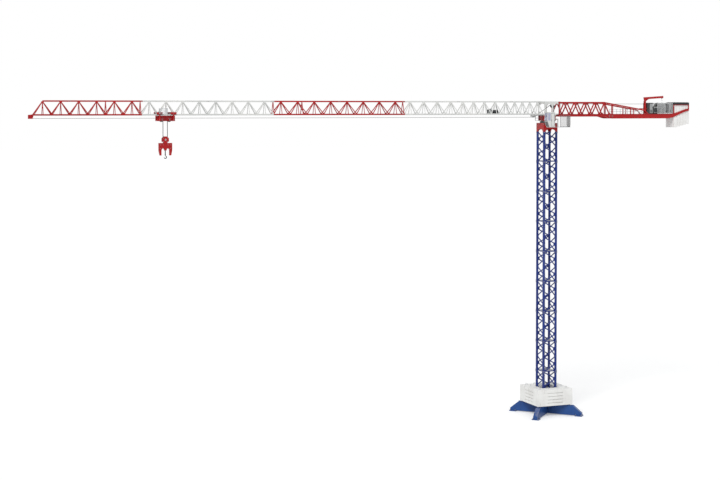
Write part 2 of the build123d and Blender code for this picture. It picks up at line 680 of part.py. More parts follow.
def cab_arms():
    """Two beams from the slewing frame that carry the cab, and one for the side platform."""
    z1 = ARM_LEVEL + BRACKET_HEIGHT
    y0 = -FRAME_WIDTH / 2
    arms = [block(x, x + BRACKET_HEIGHT, CAB_INNER_Y, y0, ARM_LEVEL, z1)
            for x in (-FRAME_WIDTH / 2, CAB_REAR - 1.5 * BRACKET_HEIGHT)]
    x = FRAME_WIDTH / 2 - BRACKET_HEIGHT
    inner = CAB_INNER_Y - GUARD_BAR
    arm = block(x, x + BRACKET_HEIGHT, inner, y0, ARM_LEVEL, z1)
    arm += block(x, x + BRACKET_HEIGHT, inner, CAB_INNER_Y, CAB_BOTTOM + DECK_THICKNESS, z1)
    return arms, arm


def side_deck():
    """Floor of the side platform behind the cab."""
    return block(CAB_REAR, SIDE_DECK_END, CAB_OUTER_Y, CAB_INNER_Y, CAB_BOTTOM, CAB_BOTTOM + DECK_THICKNESS)


def slatted_panel(length, height):
    """Flat guard panel: a frame with one rounded lower corner and upright slats."""
    outline = Pos(length / 2, height / 2) * Rectangle(length, height)
    corner = outline.vertices().sort_by(lambda v: v.X - v.Y)[-1]
    outline = fillet(corner, GUARD_CORNER)
    opening = offset(outline, amount=-GUARD_BAR)
    count = int(length // GUARD_PITCH)
    slats = [Pos(k * length / count, height / 2) * Rectangle(GUARD_BAR / 2, height)
             for k in range(1, count)]
    return (outline - opening) + ((Sketch() + slats) & outline)


def side_guard():
    """Slatted guards on the outer side and the rear end of the side platform."""
    deck = CAB_BOTTOM + DECK_THICKNESS
    outer = upright(Pos(GUARD_START, deck) * slatted_panel(SIDE_DECK_END - GUARD_START, GUARD_TOP - deck),
                    CAB_OUTER_Y + GUARD_BAR / 2, GUARD_BAR)
    end = crosswise(Pos(CAB_OUTER_Y + GUARD_BAR, deck)
                    * slatted_panel(CAB_WIDTH - GUARD_BAR, GUARD_TOP - deck),
                    SIDE_DECK_END - GUARD_BAR / 2, GUARD_BAR)
    return outer, end


def front_platform():
    """Small deck on the front of the slewing frame."""
    x = -FRAME_WIDTH / 2
    return block(x - FRONT_DECK_REACH, x, -FRONT_DECK_WIDTH / 2, FRONT_DECK_WIDTH / 2,
                 FRAME_BOTTOM, FRAME_BOTTOM + DECK_THICKNESS)


def front_rails():
    """Two-bar railing round the free sides of the front platform."""
    x1 = -FRAME_WIDTH / 2
    x0 = x1 - FRONT_DECK_REACH
    y = FRONT_DECK_WIDTH / 2
    z = FRAME_BOTTOM + DECK_THICKNESS
    half = GUARD_BAR / 2
    side_lines = [((x, z), (x, z + RAIL_HEIGHT)) for x in (x0 + half, x1 - half)]
    side_lines += [((x0 + half, z + h), (x1 - half, z + h)) for h in (RAIL_HEIGHT / 2, RAIL_HEIGHT)]
    front_lines = [((-y, z + h), (y, z + h)) for h in (RAIL_HEIGHT / 2, RAIL_HEIGHT)]
    tall = RAIL_HEIGHT + GUARD_BAR
    window = Pos((x0 + x1) / 2, z + tall / 2) * Rectangle(x1 - x0, tall)
    shape = crosswise(bars(front_lines, GUARD_BAR), x0 + half, GUARD_BAR)
    for side in (-1, 1):
        shape += upright(bars(side_lines, GUARD_BAR) & window, side * (y - half), GUARD_BAR)
    return shape


def counter_side_outline():
    """Side view of the counter-jib: beam, lattice, sloping top chord and raised tail."""
    beam = make_face(Polyline((TURRET_REAR, BEAM_BOTTOM), (DEEP_BEAM_START, BEAM_BOTTOM),
                              (DEEP_BEAM_START + DEEP_BEAM_STEP, DEEP_BEAM_BOTTOM),
                              (TAIL_START, DEEP_BEAM_BOTTOM), (COUNTER_END, TAIL_BOTTOM),
                              (COUNTER_END, TAIL_TOP), (TAIL_FACE, TAIL_TOP), (TAIL_FACE, BEAM_TOP),
                              (TURRET_REAR, BEAM_TOP), close=True))
    knee = beam.vertices().sort_by(lambda v: abs(v.X - TAIL_START) + abs(v.Z + v.Y - DEEP_BEAM_BOTTOM))[0]
    beam = fillet(knee, TAIL_ROUNDING)
    pitch = (TRUSS_END - TURRET_REAR) / TRUSS_BAYS
    low = BEAM_TOP - COUNTER_BAR / 2
    lines = [((TURRET_REAR, COUNTER_TOP), (TRUSS_END, COUNTER_TOP)),
             ((TRUSS_END, COUNTER_TOP), (SLOPE_END, SLOPE_END_TOP)),
             ((SLOPE_END, SLOPE_END_TOP), (SLOPE_END + DEEP_BEAM_STEP, low)),
             ((TURRET_REAR + COUNTER_BAR / 2, low), (TURRET_REAR + COUNTER_BAR / 2, COUNTER_TOP))]
    for k in range(TRUSS_BAYS):
        x = TURRET_REAR + k * pitch
        lines += [((x, low), (x + pitch / 2, COUNTER_TOP)), ((x + pitch / 2, COUNTER_TOP), (x + pitch, low))]
    for x in POST_PLACES:
        fall = (x - TRUSS_END) / (SLOPE_END - TRUSS_END)
        lines.append(((x, low), (x, COUNTER_TOP + fall * (SLOPE_END_TOP - COUNTER_TOP))))
    high = COUNTER_TOP + COUNTER_BAR
    window = Pos((TURRET_REAR + COUNTER_END) / 2, (BEAM_BOTTOM + high) / 2) * Rectangle(
        COUNTER_END - TURRET_REAR, high - BEAM_BOTTOM)
    return beam + (bars(lines, COUNTER_BAR) & window)


def counter_jib_sides():
    """Flat sides of the counter-jib."""
    y = COUNTER_HALF_WIDTH - BEAM_THICKNESS / 2
    drawing = counter_side_outline()
    return [upright(drawing, side * y, BEAM_THICKNESS) for side in (-1, 1)]


def floor_beams():
    """Cross beams between the two sides, under the walkway and the machine deck."""
    y = COUNTER_HALF_WIDTH - BEAM_THICKNESS
    pitch = (TRUSS_END - TURRET_REAR) / TRUSS_BAYS
    count = int((MACHINE_DECK_END - TURRET_REAR) // pitch) + 1
    top = BEAM_TOP - DECK_THICKNESS
    return [block(TURRET_REAR + k * pitch, TURRET_REAR + k * pitch + COUNTER_BAR, -y, y,
                  BEAM_BOTTOM, top) for k in range(count)]


def top_bars():
    """Cross bars between the upper chords of the two sides."""
    y = COUNTER_HALF_WIDTH - BEAM_THICKNESS
    pitch = (TRUSS_END - TURRET_REAR) / TRUSS_BAYS
    half = COUNTER_BAR / 2
    places = [(TURRET_REAR + (k + 0.5) * pitch, COUNTER_TOP) for k in range(TRUSS_BAYS)]
    places.append((SLOPE_END, SLOPE_END_TOP))
    return [block(x - half, x + half, -y, y, z - half, z + half) for x, z in places]


def walkway():
    """Narrow floor on the cross beams from the turret to the machine deck."""
    half = WALKWAY_WIDTH / 2
    return block(TURRET_REAR, MACHINE_DECK_START - SEAT_GAP, -half, half, BEAM_TOP - DECK_THICKNESS, BEAM_TOP)


def machine_deck():
    """Floor under the hoist machinery."""
    y = COUNTER_HALF_WIDTH - BEAM_THICKNESS
    return block(MACHINE_DECK_START, MACHINE_DECK_END, -y, y, BEAM_TOP - DECK_THICKNESS, BEAM_TOP)


def handrails():
    """Two-bar railings on the edges of the walkway."""
    half = HANDRAIL_BAR / 2
    z = BEAM_TOP
    length = MACHINE_DECK_START - HANDRAIL_START
    lines = [((HANDRAIL_START, z + h), (MACHINE_DECK_START - half, z + h))
             for h in (RAIL_HEIGHT / 2, RAIL_HEIGHT)]
    for k in range(HANDRAIL_BAYS + 1):
        x = HANDRAIL_START + half + k * (length - HANDRAIL_BAR) / HANDRAIL_BAYS
        lines.append(((x, z), (x, z + RAIL_HEIGHT)))
    tall = RAIL_HEIGHT + HANDRAIL_BAR
    window = Pos(HANDRAIL_START + length / 2, z + tall / 2) * Rectangle(length, tall)
    return [upright(bars(lines, HANDRAIL_BAR) & window, side * (WALKWAY_WIDTH / 2 - half), HANDRAIL_BAR)
            for side in (-1, 1)]


def hoist_winch():
    """Flanged rope drum about Y, held between two cheeks on the machine deck."""
    half = DRUM_WIDTH / 2
    drum = round_bar(DRUM_RADIUS, DRUM_X, DRUM_Z, -half, half)
    for side in (-1, 1):
        drum += round_bar(DRUM_FLANGE_RADIUS, DRUM_X, DRUM_Z, side * half, side * (half - FLANGE_THICKNESS))
    shoulder = 2 * WINCH_CHEEK
    cheek = make_face(Polyline((DRUM_X - DRUM_FLANGE_RADIUS, BEAM_TOP),
                               (DRUM_X + DRUM_FLANGE_RADIUS, BEAM_TOP),
                               (DRUM_X + shoulder, DRUM_Z + shoulder),
                               (DRUM_X - shoulder, DRUM_Z + shoulder), close=True))
    cheeks = [upright(cheek, side * (half + WINCH_CHEEK / 2), WINCH_CHEEK) for side in (-1, 1)]
    return drum, cheeks


def machine_block(x, length, y0, y1, height):
    """Closed housing on the machine deck, between x and x + length."""
    return block(x, x + length, y0, y1, BEAM_TOP, BEAM_TOP + height)


def cabinets():
    """Two tall cabinets beside the rope, the low motor housing and the tall rear housing."""
    half = CABINET_WIDTH / 2
    pieces = [machine_block(CABINET_X, CABINET_LENGTH, side * CABINET_AISLE, side * half, CABINET_HEIGHT)
              for side in (-1, 1)]
    pieces.append(machine_block(MOTOR_BLOCK_X, MOTOR_BLOCK_LENGTH, -half, half, MOTOR_BLOCK_HEIGHT))
    pieces.append(machine_block(REAR_BLOCK_X, REAR_BLOCK_LENGTH, -half, half, CABINET_HEIGHT))
    return pieces


def tail_height(x):
    """Level of the underside of the raised tail at x."""
    return DEEP_BEAM_BOTTOM + (x - TAIL_START) / (COUNTER_END - TAIL_START) * (TAIL_BOTTOM - DEEP_BEAM_BOTTOM)


def counterweights():
    """Row of hanging slabs, each wide under the tail and necked between its sides."""
    slabs = []
    neck = COUNTER_HALF_WIDTH - BEAM_THICKNESS - SEAT_GAP
    for k in range(WEIGHT_COUNT):
        x0 = WEIGHT_FIRST_X + k * WEIGHT_PITCH
        x1 = x0 + WEIGHT_THICKNESS
        shoulder = tail_height(x0) - CLEAR
        low = WEIGHT_FIRST_BOTTOM + k * WEIGHT_RISE
        slab = block(x0, x1, -WEIGHT_WIDTH / 2, WEIGHT_WIDTH / 2, low, shoulder)
        slabs.append(slab + block(x0, x1, -neck, neck, low, TAIL_TOP))
    return slabs


def hanger_blocks():
    """Steel cross blocks on top of the tail, one for each counterweight slab."""
    return [block(WEIGHT_FIRST_X + k * WEIGHT_PITCH, WEIGHT_FIRST_X + k * WEIGHT_PITCH + WEIGHT_THICKNESS,
                  -COUNTER_HALF_WIDTH, COUNTER_HALF_WIDTH, TAIL_TOP, TAIL_TOP + HANGER_BLOCK_HEIGHT)
            for k in range(WEIGHT_COUNT)]


def davit_post():
    """Post beside the machinery, bored at the top for the davit's pin."""
    half = DAVIT_POST / 2
    post = block(DAVIT_X - half, DAVIT_X + half, DAVIT_Y - half, DAVIT_Y + half, BEAM_TOP, DAVIT_PIVOT_Z)
    depth = 2 * (DAVIT_PIN_DEPTH + CLEAR)
    bore = Pos(DAVIT_X, DAVIT_Y, DAVIT_PIVOT_Z) * Cylinder(DAVIT_PIN + RUN_GAP, depth)
    return post - bore


def davit_arm():
    """Turning arm: pin, short mast, rising boom and a knee plate between them."""
    low = DAVIT_PIVOT_Z + RUN_GAP
    half = DAVIT_BOOM / 2
    pin = Pos(DAVIT_X, DAVIT_Y, low - DAVIT_PIN_DEPTH / 2) * Cylinder(DAVIT_PIN, DAVIT_PIN_DEPTH)
    mast = block(DAVIT_X - half, DAVIT_X + half, DAVIT_Y - half, DAVIT_Y + half, low, DAVIT_TOP)
    end = DAVIT_X + DAVIT_REACH
    boom = [((DAVIT_X - DAVIT_BOOM, DAVIT_TOP - half), (end, DAVIT_TOP - half + DAVIT_RISE))]
    knee = make_face(Polyline((DAVIT_X, DAVIT_TOP - 3 * DAVIT_BOOM), (DAVIT_X, DAVIT_TOP - half),
                              (DAVIT_X + 2 * DAVIT_BOOM, DAVIT_TOP - half), close=True))
    return pin + mast + upright(bars(boom, DAVIT_BOOM), DAVIT_Y, DAVIT_BOOM) + upright(
        knee, DAVIT_Y, DAVIT_BOOM / 2)


def davit_hook():
    """Short chain and hook under the end of the davit's boom."""
    x = DAVIT_X + DAVIT_REACH - DAVIT_BOOM
    top = DAVIT_TOP - DAVIT_BOOM + DAVIT_RISE * (1 - DAVIT_BOOM / DAVIT_REACH) - SEAT_GAP
    return block(x - ROPE, x + ROPE, DAVIT_Y - ROPE, DAVIT_Y + ROPE, top - DAVIT_HOOK_DROP, top)


def trolley_frame():
    """Two side plates tied by cross tubes above and below the rope, with the pulley axles."""
    inner = TROLLEY_HALF_WIDTH - PLATE
    side = block(-TROLLEY_HALF_LENGTH, TROLLEY_HALF_LENGTH, inner, TROLLEY_HALF_WIDTH,
                 TROLLEY_BOTTOM, TROLLEY_TOP)
    shape = side + mirror(side, about=Plane.XZ)
    for x in (-TROLLEY_HALF_LENGTH, 0, TROLLEY_HALF_LENGTH - TIE_WIDTH):
        for z in (TROLLEY_BOTTOM, TROLLEY_TOP - TIE_WIDTH):
            shape += block(x, x + TIE_WIDTH, -inner, inner, z, z + TIE_WIDTH)
    for side in (-1, 1):
        shape += round_bar(AXLE_RADIUS, side * (FALL_HALF_SPACING + SHEAVE_RADIUS),
                           ROPE_LEVEL - SHEAVE_RADIUS, -inner, inner)
    return Pos(TROLLEY_X, 0, 0) * shape


def trolley_bogies():
    """Four stems with caps beside the chords, tied to the trolley frame by outriggers."""
    inner = BOGIE_INNER
    cap_bottom = JIB_BOTTOM - JIB_CHORD / 2 + RAIL_THICKNESS + 2 * WHEEL_RADIUS
    cap_top = cap_bottom + BOGIE_CAP_HEIGHT
    pieces = []
    for x in (-BOGIE_SPACING, BOGIE_SPACING):
        for side in (-1, 1):
            stem = block(x - STEM_WIDTH / 2, x + STEM_WIDTH / 2, side * inner, side * (inner + PLATE),
                         TROLLEY_BOTTOM, cap_top)
            stem += block(x - BOGIE_CAP_LENGTH / 2, x + BOGIE_CAP_LENGTH / 2, side * inner,
                          side * (inner + PLATE), cap_top - 2 * WHEEL_RADIUS, cap_top)
            stem += block(x - STEM_WIDTH / 2, x + STEM_WIDTH / 2, side * TROLLEY_HALF_WIDTH, side * inner,
                          TROLLEY_BOTTOM + TIE_WIDTH, TROLLEY_TOP - TIE_WIDTH)
            pieces.append(Pos(TROLLEY_X, 0, 0) * stem)
    return pieces


def trolley_wheels():
    """Eight wheels with stub axles, on the rails outside the bottom chords."""
    z = JIB_BOTTOM - JIB_CHORD / 2 + RAIL_THICKNESS + SEAT_GAP + WHEEL_RADIUS
    middle = JIB_HALF_WIDTH + JIB_CHORD / 2 + RAIL_WIDTH / 2
    wheels = []
    for x in (-BOGIE_SPACING, BOGIE_SPACING):
        for offset_x in (-WHEEL_SPACING, WHEEL_SPACING):
            for side in (-1, 1):
                wheel = Pos(x + offset_x, side * middle, z) * roller(WHEEL_RADIUS, WHEEL_WIDTH)
                wheel += round_bar(AXLE_RADIUS, x + offset_x, z, side * middle, side * BOGIE_INNER)
                wheels.append(Pos(TROLLEY_X, 0, 0) * wheel)
    return wheels


def basket():
    """Maintenance basket hung beside the trolley: a floor with low railings."""
    y1 = -BOGIE_INNER - PLATE
    y0 = y1 - BASKET_WIDTH
    x0 = TROLLEY_X - BASKET_LENGTH
    x1 = TROLLEY_X
    z = BASKET_FLOOR
    shape = block(x0, x1, y0, y1, z, z + PLATE / 2)
    half = GUARD_BAR / 2
    top = z + BASKET_HEIGHT
    for x in (x0 + half, x1 - half):
        lines = [((y, z), (y, top)) for y in (y0 + half, y1 - half)]
        lines.append(((y0 + half, top), (y1 - half, top)))
        shape += crosswise(bars(lines, GUARD_BAR), x, GUARD_BAR)
    for y in (y0 + half, y1 - half):
        lines = [((x0 + half, top), (x1 - half, top))]
        shape += upright(bars(lines, GUARD_BAR), y, GUARD_BAR)
    return shape


def fall_ropes():
    """Four falls of rope between the trolley's pulleys and the hook block's."""
    half = ROPE / 2
    return [block(TROLLEY_X + x - half, TROLLEY_X + x + half, y - half, y + half, BLOCK_AXLE_Z,
                  ROPE_LEVEL - SHEAVE_RADIUS)
            for x in (-FALL_HALF_SPACING, FALL_HALF_SPACING) for y in (-ROPE_HALF_SPACING, ROPE_HALF_SPACING)]


def hook_block():
    """Two eight-sided cheeks over the pulleys, and the thick body with its two side legs."""
    housing = Pos(0, (HOUSING_TOP + HOUSING_BOTTOM) / 2) * Rectangle(HOUSING_WIDTH, HOUSING_HEIGHT)
    housing = chamfer(housing.vertices(), HOUSING_CHAMFER)
    cheek_inner = BODY_THICKNESS / 2 - PLATE
    middle = (BODY_THICKNESS - PLATE) / 2
    shape = upright(housing, middle, PLATE) + upright(housing, -middle, PLATE)
    body = Pos(0, (HOUSING_BOTTOM + BODY_BOTTOM) / 2) * Rectangle(BODY_WIDTH, BODY_HEIGHT)
    outer = BODY_WIDTH / 2 - LEG_INSET
    inner = outer - LEG_WIDTH
    for side in (-1, 1):
        body += make_face(Polyline((side * BODY_WIDTH / 2, BODY_BOTTOM), (side * outer, LEG_BOTTOM),
                                   (side * inner, LEG_BOTTOM), (side * inner, BODY_BOTTOM), close=True))
        body -= Pos(side * LEG_ARCH_X, BODY_BOTTOM) * Ellipse(LEG_ARCH_RADIUS, LEG_ARCH_RISE)
    shape += upright(body, 0, BODY_THICKNESS)
    shape -= Pos(0, 0, BODY_BOTTOM) * Cylinder(SHANK_RADIUS + RUN_GAP, 2 * SHANK_DEPTH + 2 * CLEAR)
    axle = round_bar(AXLE_RADIUS, 0, BLOCK_AXLE_Z, -cheek_inner, cheek_inner)
    return Pos(TROLLEY_X, 0, 0) * (shape + axle)


def load_hook():
    """Swivelling hook: shank in the block, round bowl open to the left."""
    centre = HOOK_BOTTOM + HOOK_RADIUS + HOOK_THICKNESS / 2
    bowl = Circle(HOOK_RADIUS + HOOK_THICKNESS / 2) - Circle(HOOK_RADIUS - HOOK_THICKNESS / 2)
    mouth = Pos(-HOOK_RADIUS, HOOK_MOUTH / 2) * Rectangle(2 * HOOK_RADIUS, HOOK_MOUTH)
    bowl = Pos(0, centre) * (bowl - mouth)
    neck = Pos(0, centre + HOOK_RADIUS + HOOK_THICKNESS / 2) * Rectangle(HOOK_NECK, 2 * HOOK_THICKNESS)
    shape = upright(bowl + neck, 0, HOOK_THICKNESS)
    low = centre + HOOK_RADIUS + HOOK_THICKNESS
    high = BODY_BOTTOM + SHANK_DEPTH
    shape += Pos(0, 0, (low + high) / 2) * Cylinder(SHANK_RADIUS, high - low)
    return Pos(TROLLEY_X, 0, 0) * shape


os.makedirs("parts", exist_ok=True)

long_beam, half_beams = base_beams()
write("base_long_beam", long_beam)
write("base_half_beams", *half_beams)
write("foot_plates", *foot_plates())
write("mast_feet", *mast_feet())
write("ballast_bearers", *ballast_bearers())
write("ballast_front", *ballast_side(BALLAST_HALF, 0))
write("ballast_rear", *ballast_side(BALLAST_HALF, 180))
side_half = BALLAST_HALF - BALLAST_DEPTH - SEAT_GAP
write("ballast_left", *ballast_side(side_half, -90))
write("ballast_right", *ballast_side(side_half, 90))

part = mast_part()
for k, name in enumerate(MAST_PARTS):
    level = MAST_BOTTOM + k * SECTIONS_PER_PART * SECTION_HEIGHT
    write(name, *[Pos(0, 0, level) * side for side in part])
platform_levels = [MAST_BOTTOM + k * SECTION_HEIGHT + PLATFORM_LIFT for k in range(1, SECTION_COUNT)]
write("mast_platforms", *[mast_platform(level) for level in platform_levels])
write("mast_ladder", ladder(MAST_BOTTOM, MAST_TOP))

outer_ring, inner_ring = slewing_rings()
write("slewing_support", slewing_support())
write("slewing_ring_outer", outer_ring)
write("slewing_ring_inner", inner_ring)
write("slewing_frame", slewing_frame())
write("turret_base", turret_base())
write("turret", *turret())

write("jib_root", jib_part(TURRET_FRONT, JIB_START - TURRET_FRONT, ROOT_PANELS))
write("jib_inner_white", jib_part(JIB_START, JIB_PART_LENGTH, INNER_PANELS))
red_part = jib_part(JIB_START + JIB_PART_LENGTH, JIB_PART_LENGTH, OUTER_PANELS)
write("jib_red", red_part)
write("jib_outer_white", Pos(-JIB_PART_LENGTH, 0, 0) * red_part)
write("jib_tip_red", jib_part(JIB_TIP_START, JIB_TIP_LENGTH, TIP_PANELS, is_tip=True))
write("jib_nose", jib_nose())
write("pulley_brackets", head_pulley_bracket(), root_pulley_bracket())
guide_axle = ROPE_LEVEL + GUIDE_PULLEY_RADIUS
write("guide_pulleys", *pulley_pair(NOSE_PULLEY_X, guide_axle, GUIDE_PULLEY_RADIUS),
      *pulley_pair(ROOT_PULLEY_X, guide_axle, GUIDE_PULLEY_RADIUS),
      *pulley_pair(HEAD_PULLEY_X, HEAD_PULLEY_Z, HEAD_PULLEY_RADIUS))
write("trolley_winch", trolley_winch())
write("hoist_rope", *hoist_rope())

cab_shell, cab_glass = cab_parts()
arms, deck_arm = cab_arms()
write("cab_shell", cab_shell)
write("cab_glass", cab_glass)
write("cab_seat", cab_seat())
write("cab_arms", *arms, deck_arm)
write("platform_decks", side_deck(), front_platform())
write("side_guard", *side_guard())
write("front_rails", front_rails())

write("counter_jib_sides", *counter_jib_sides())
write("counter_jib_cross_members", *floor_beams(), *top_bars())
write("counter_jib_decks", walkway(), machine_deck())
write("handrails", *handrails())
drum, cheeks = hoist_winch()
write("hoist_drum", drum)
write("winch_cheeks", *cheeks)
write("control_cabinets", *cabinets())
write("counterweights", *counterweights())
write("hanger_blocks", *hanger_blocks())
write("davit_post", davit_post())
write("davit_arm", davit_arm())
write("davit_hook", davit_hook())

write("trolley_frame", trolley_frame())
write("trolley_bogies", *trolley_bogies())
write("trolley_wheels", *trolley_wheels())
fall_x = FALL_HALF_SPACING + SHEAVE_RADIUS
fall_z = ROPE_LEVEL - SHEAVE_RADIUS
write("trolley_pulleys", *pulley_pair(TROLLEY_X - fall_x, fall_z, SHEAVE_RADIUS),
      *pulley_pair(TROLLEY_X + fall_x, fall_z, SHEAVE_RADIUS))
write("trolley_basket", basket())
write("fall_ropes", *fall_ropes())
write("hook_block", hook_block())
write("hook_block_pulleys", *pulley_pair(TROLLEY_X, BLOCK_AXLE_Z, FALL_HALF_SPACING))
write("load_hook", load_hook())
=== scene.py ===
import bpy
import math
import numpy as np
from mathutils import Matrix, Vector


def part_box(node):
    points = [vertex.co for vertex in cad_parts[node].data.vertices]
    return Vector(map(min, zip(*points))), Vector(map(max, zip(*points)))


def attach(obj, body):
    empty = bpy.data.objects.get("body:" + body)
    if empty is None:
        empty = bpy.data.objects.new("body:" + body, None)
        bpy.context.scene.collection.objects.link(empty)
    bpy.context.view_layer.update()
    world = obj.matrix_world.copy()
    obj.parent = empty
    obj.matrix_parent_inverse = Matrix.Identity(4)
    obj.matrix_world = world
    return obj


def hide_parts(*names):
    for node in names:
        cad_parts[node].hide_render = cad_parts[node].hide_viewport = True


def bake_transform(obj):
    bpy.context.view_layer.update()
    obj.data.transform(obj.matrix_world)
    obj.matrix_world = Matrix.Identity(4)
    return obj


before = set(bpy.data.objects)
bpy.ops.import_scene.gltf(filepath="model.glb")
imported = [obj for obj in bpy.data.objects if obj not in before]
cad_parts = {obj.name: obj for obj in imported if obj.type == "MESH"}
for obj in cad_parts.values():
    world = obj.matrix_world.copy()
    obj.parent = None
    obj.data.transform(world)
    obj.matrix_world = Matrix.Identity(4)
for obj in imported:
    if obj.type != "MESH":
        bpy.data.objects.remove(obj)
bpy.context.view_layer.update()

# Camera, floor and light.
# The camera stands 23.6 m from the mast at the level of the jib, and looks a little down. An even
# sky and one soft sun light the crane, over a pale floor in front of a white backdrop.
view_azimuth = math.radians(-21.6)
view_pitch = math.radians(1.6)
look = Vector((-math.sin(view_azimuth), math.cos(view_azimuth), -math.tan(view_pitch)))
camera_data = bpy.data.cameras.new("camera")
camera_data.lens = 75
camera_data.sensor_width = 36
camera_data.shift_x = -0.0017
camera_data.shift_y = -0.125
camera_data.clip_end = 400
camera = bpy.data.objects.new("camera", camera_data)
camera.location = (-11.308, -20.691, 4.783)
camera.rotation_euler = look.to_track_quat("-Z", "Y").to_euler()
bpy.context.collection.objects.link(camera)
bpy.context.scene.camera = camera
bpy.context.scene.view_settings.view_transform = "Standard"


def node(tree, kind, **values):
    """Shader node with its settings; a tree's nodes stand in rows of eight, in the order they are made."""
    made = tree.nodes.new("ShaderNode" + kind)
    made.location = (len(tree.nodes) % 8 * 220, len(tree.nodes) // 8 * -320)
    for name, value in values.items():
        setattr(made, name, value)
    return made


def tune(made, **levels):
    """Node with some of its inputs set by name, with an underscore for each space."""
    for name, level in levels.items():
        made.inputs[name.replace("_", " ")].default_value = level
    return made


def link(tree, start, end):
    """Join an output socket to an input socket."""
    tree.links.new(start, end)


def background_rays(tree):
    """Light Path mask that is 1 for camera, glossy and transmission rays and 0 for all others."""
    rays = node(tree, "LightPath")
    direct = node(tree, "Math", operation="MAXIMUM")
    every = node(tree, "Math", operation="MAXIMUM")
    link(tree, rays.outputs["Is Camera Ray"], direct.inputs[0])
    link(tree, rays.outputs["Is Glossy Ray"], direct.inputs[1])
    link(tree, direct.outputs[0], every.inputs[0])
    link(tree, rays.outputs["Is Transmission Ray"], every.inputs[1])
    return every.outputs[0]


world = bpy.data.worlds.new("studio")
world.use_nodes = True
bpy.context.scene.world = world
sky = world.node_tree
sky.nodes.clear()
ambient = tune(node(sky, "Background"), Color=(0.96, 0.98, 1.0, 1), Strength=0.62)
backdrop = tune(node(sky, "Background"), Color=(1, 1, 1, 1), Strength=1.0)
choice = node(sky, "MixShader")
world_out = node(sky, "OutputWorld")
link(sky, background_rays(sky), choice.inputs["Fac"])
link(sky, ambient.outputs[0], choice.inputs[1])
link(sky, backdrop.outputs[0], choice.inputs[2])
link(sky, choice.outputs[0], world_out.inputs["Surface"])

sun_data = bpy.data.lights.new("soft_key", "SUN")
sun_data.energy = 1.75
sun_data.angle = math.radians(24)
sun_data.color = (1.0, 0.985, 0.96)
sun = bpy.data.objects.new("soft_key", sun_data)
sun.rotation_euler = Vector((0.55, 0.62, -0.85)).to_track_quat("-Z", "Y").to_euler()
bpy.context.collection.objects.link(sun)

floor_reach = 150.0
floor_mesh = bpy.data.meshes.new("floor")
floor_mesh.from_pydata([(-floor_reach, -floor_reach, 0), (floor_reach, -floor_reach, 0),
                        (floor_reach, floor_reach, 0), (-floor_reach, floor_reach, 0)], [], [(0, 1, 2, 3)])
floor = bpy.data.objects.new("floor", floor_mesh)
bpy.context.collection.objects.link(floor)
pale_floor = bpy.data.materials.new("pale_floor")
pale_floor.use_nodes = True
tree = pale_floor.node_tree
tree.nodes.clear()
matt = node(tree, "BsdfDiffuse")
glow = node(tree, "Emission")
glow_level = node(tree, "Math", operation="MULTIPLY")
both = node(tree, "AddShader")
floor_out = node(tree, "OutputMaterial")
tune(matt, Color=(0.78, 0.78, 0.78, 1))
glow_level.inputs[1].default_value = 0.26
link(tree, background_rays(tree), glow_level.inputs[0])
link(tree, glow_level.outputs[0], glow.inputs["Strength"])
link(tree, matt.outputs[0], both.inputs[0])
link(tree, glow.outputs[0], both.inputs[1])
link(tree, both.outputs[0], floor_out.inputs["Surface"])
floor_mesh.materials.append(pale_floor)


# Cross base.
# Welded box girders cross under the mast, in blue satin paint over a primer. Four nuts on threaded
# studs hold each arm's foot plate down. Sizes in millimetres stand here and in all later sections.
def noise(tree, coordinates, scale, detail=3.0, roughness=0.55, stretch=(1, 1, 1)):
    """Noise on stretched object coordinates, as its factor socket."""
    mapping = tune(node(tree, "Mapping"), Scale=stretch)
    made = tune(node(tree, "TexNoise"), Scale=scale, Detail=detail, Roughness=roughness)
    link(tree, coordinates, mapping.inputs["Vector"])
    link(tree, mapping.outputs[0], made.inputs["Vector"])
    return made.outputs[0]


def window(tree, value, low, high, top=1.0):
    """Value mapped from low..high to 0..top, held at both ends."""
    made = node(tree, "MapRange", interpolation_type="SMOOTHSTEP")
    tune(made, From_Min=low, From_Max=high, To_Max=top)
    link(tree, value, made.inputs["Value"])
    return made.outputs[0]


def arithmetic(tree, operation, first, second):
    """Math node on two sockets or numbers, as its output socket."""
    made = node(tree, "Math", operation=operation)
    for place, value in enumerate((first, second)):
        if isinstance(value, (int, float)):
            made.inputs[place].default_value = value
        else:
            link(tree, value, made.inputs[place])
    return made.outputs[0]


weather = bpy.data.node_groups.new("weather", "ShaderNodeTree")
for effect in ("Tone", "Streaks", "Dust", "Edges", "Peel"):
    weather.interface.new_socket(effect, in_out="OUTPUT", socket_type="NodeSocketFloat")
weather_out = weather.nodes.new("NodeGroupOutput")
place = node(weather, "TexCoord").outputs["Object"]
form = node(weather, "NewGeometry")
facing = node(weather, "SeparateXYZ")
link(weather, form.outputs["Normal"], facing.inputs[0])
tone = window(weather, noise(weather, place, 1.6), 0.3, 0.7)
link(weather, tone, weather_out.inputs["Tone"])
runs = window(weather, noise(weather, place, 30, 4, 0.6, (1, 1, 0.07)), 0.52, 0.72)
level_part = arithmetic(weather, "ABSOLUTE", facing.outputs[2], 0)
steep = window(weather, level_part, 0.5, 0.1)
link(weather, arithmetic(weather, "MULTIPLY", runs, steep), weather_out.inputs["Streaks"])
settled = window(weather, facing.outputs[2], 0.35, 0.95)
patches = window(weather, noise(weather, place, 9, 5, 0.65), 0.35, 0.75)
link(weather, arithmetic(weather, "MULTIPLY", settled, patches), weather_out.inputs["Dust"])
rounded = tune(node(weather, "Bevel", samples=4), Radius=0.0016)
bent = node(weather, "VectorMath", operation="DOT_PRODUCT")
link(weather, rounded.outputs[0], bent.inputs[0])
link(weather, form.outputs["Normal"], bent.inputs[1])
worn = window(weather, bent.outputs["Value"], 0.985, 0.86)
bitten = window(weather, noise(weather, place, 60, 4, 0.7), 0.5, 0.66)
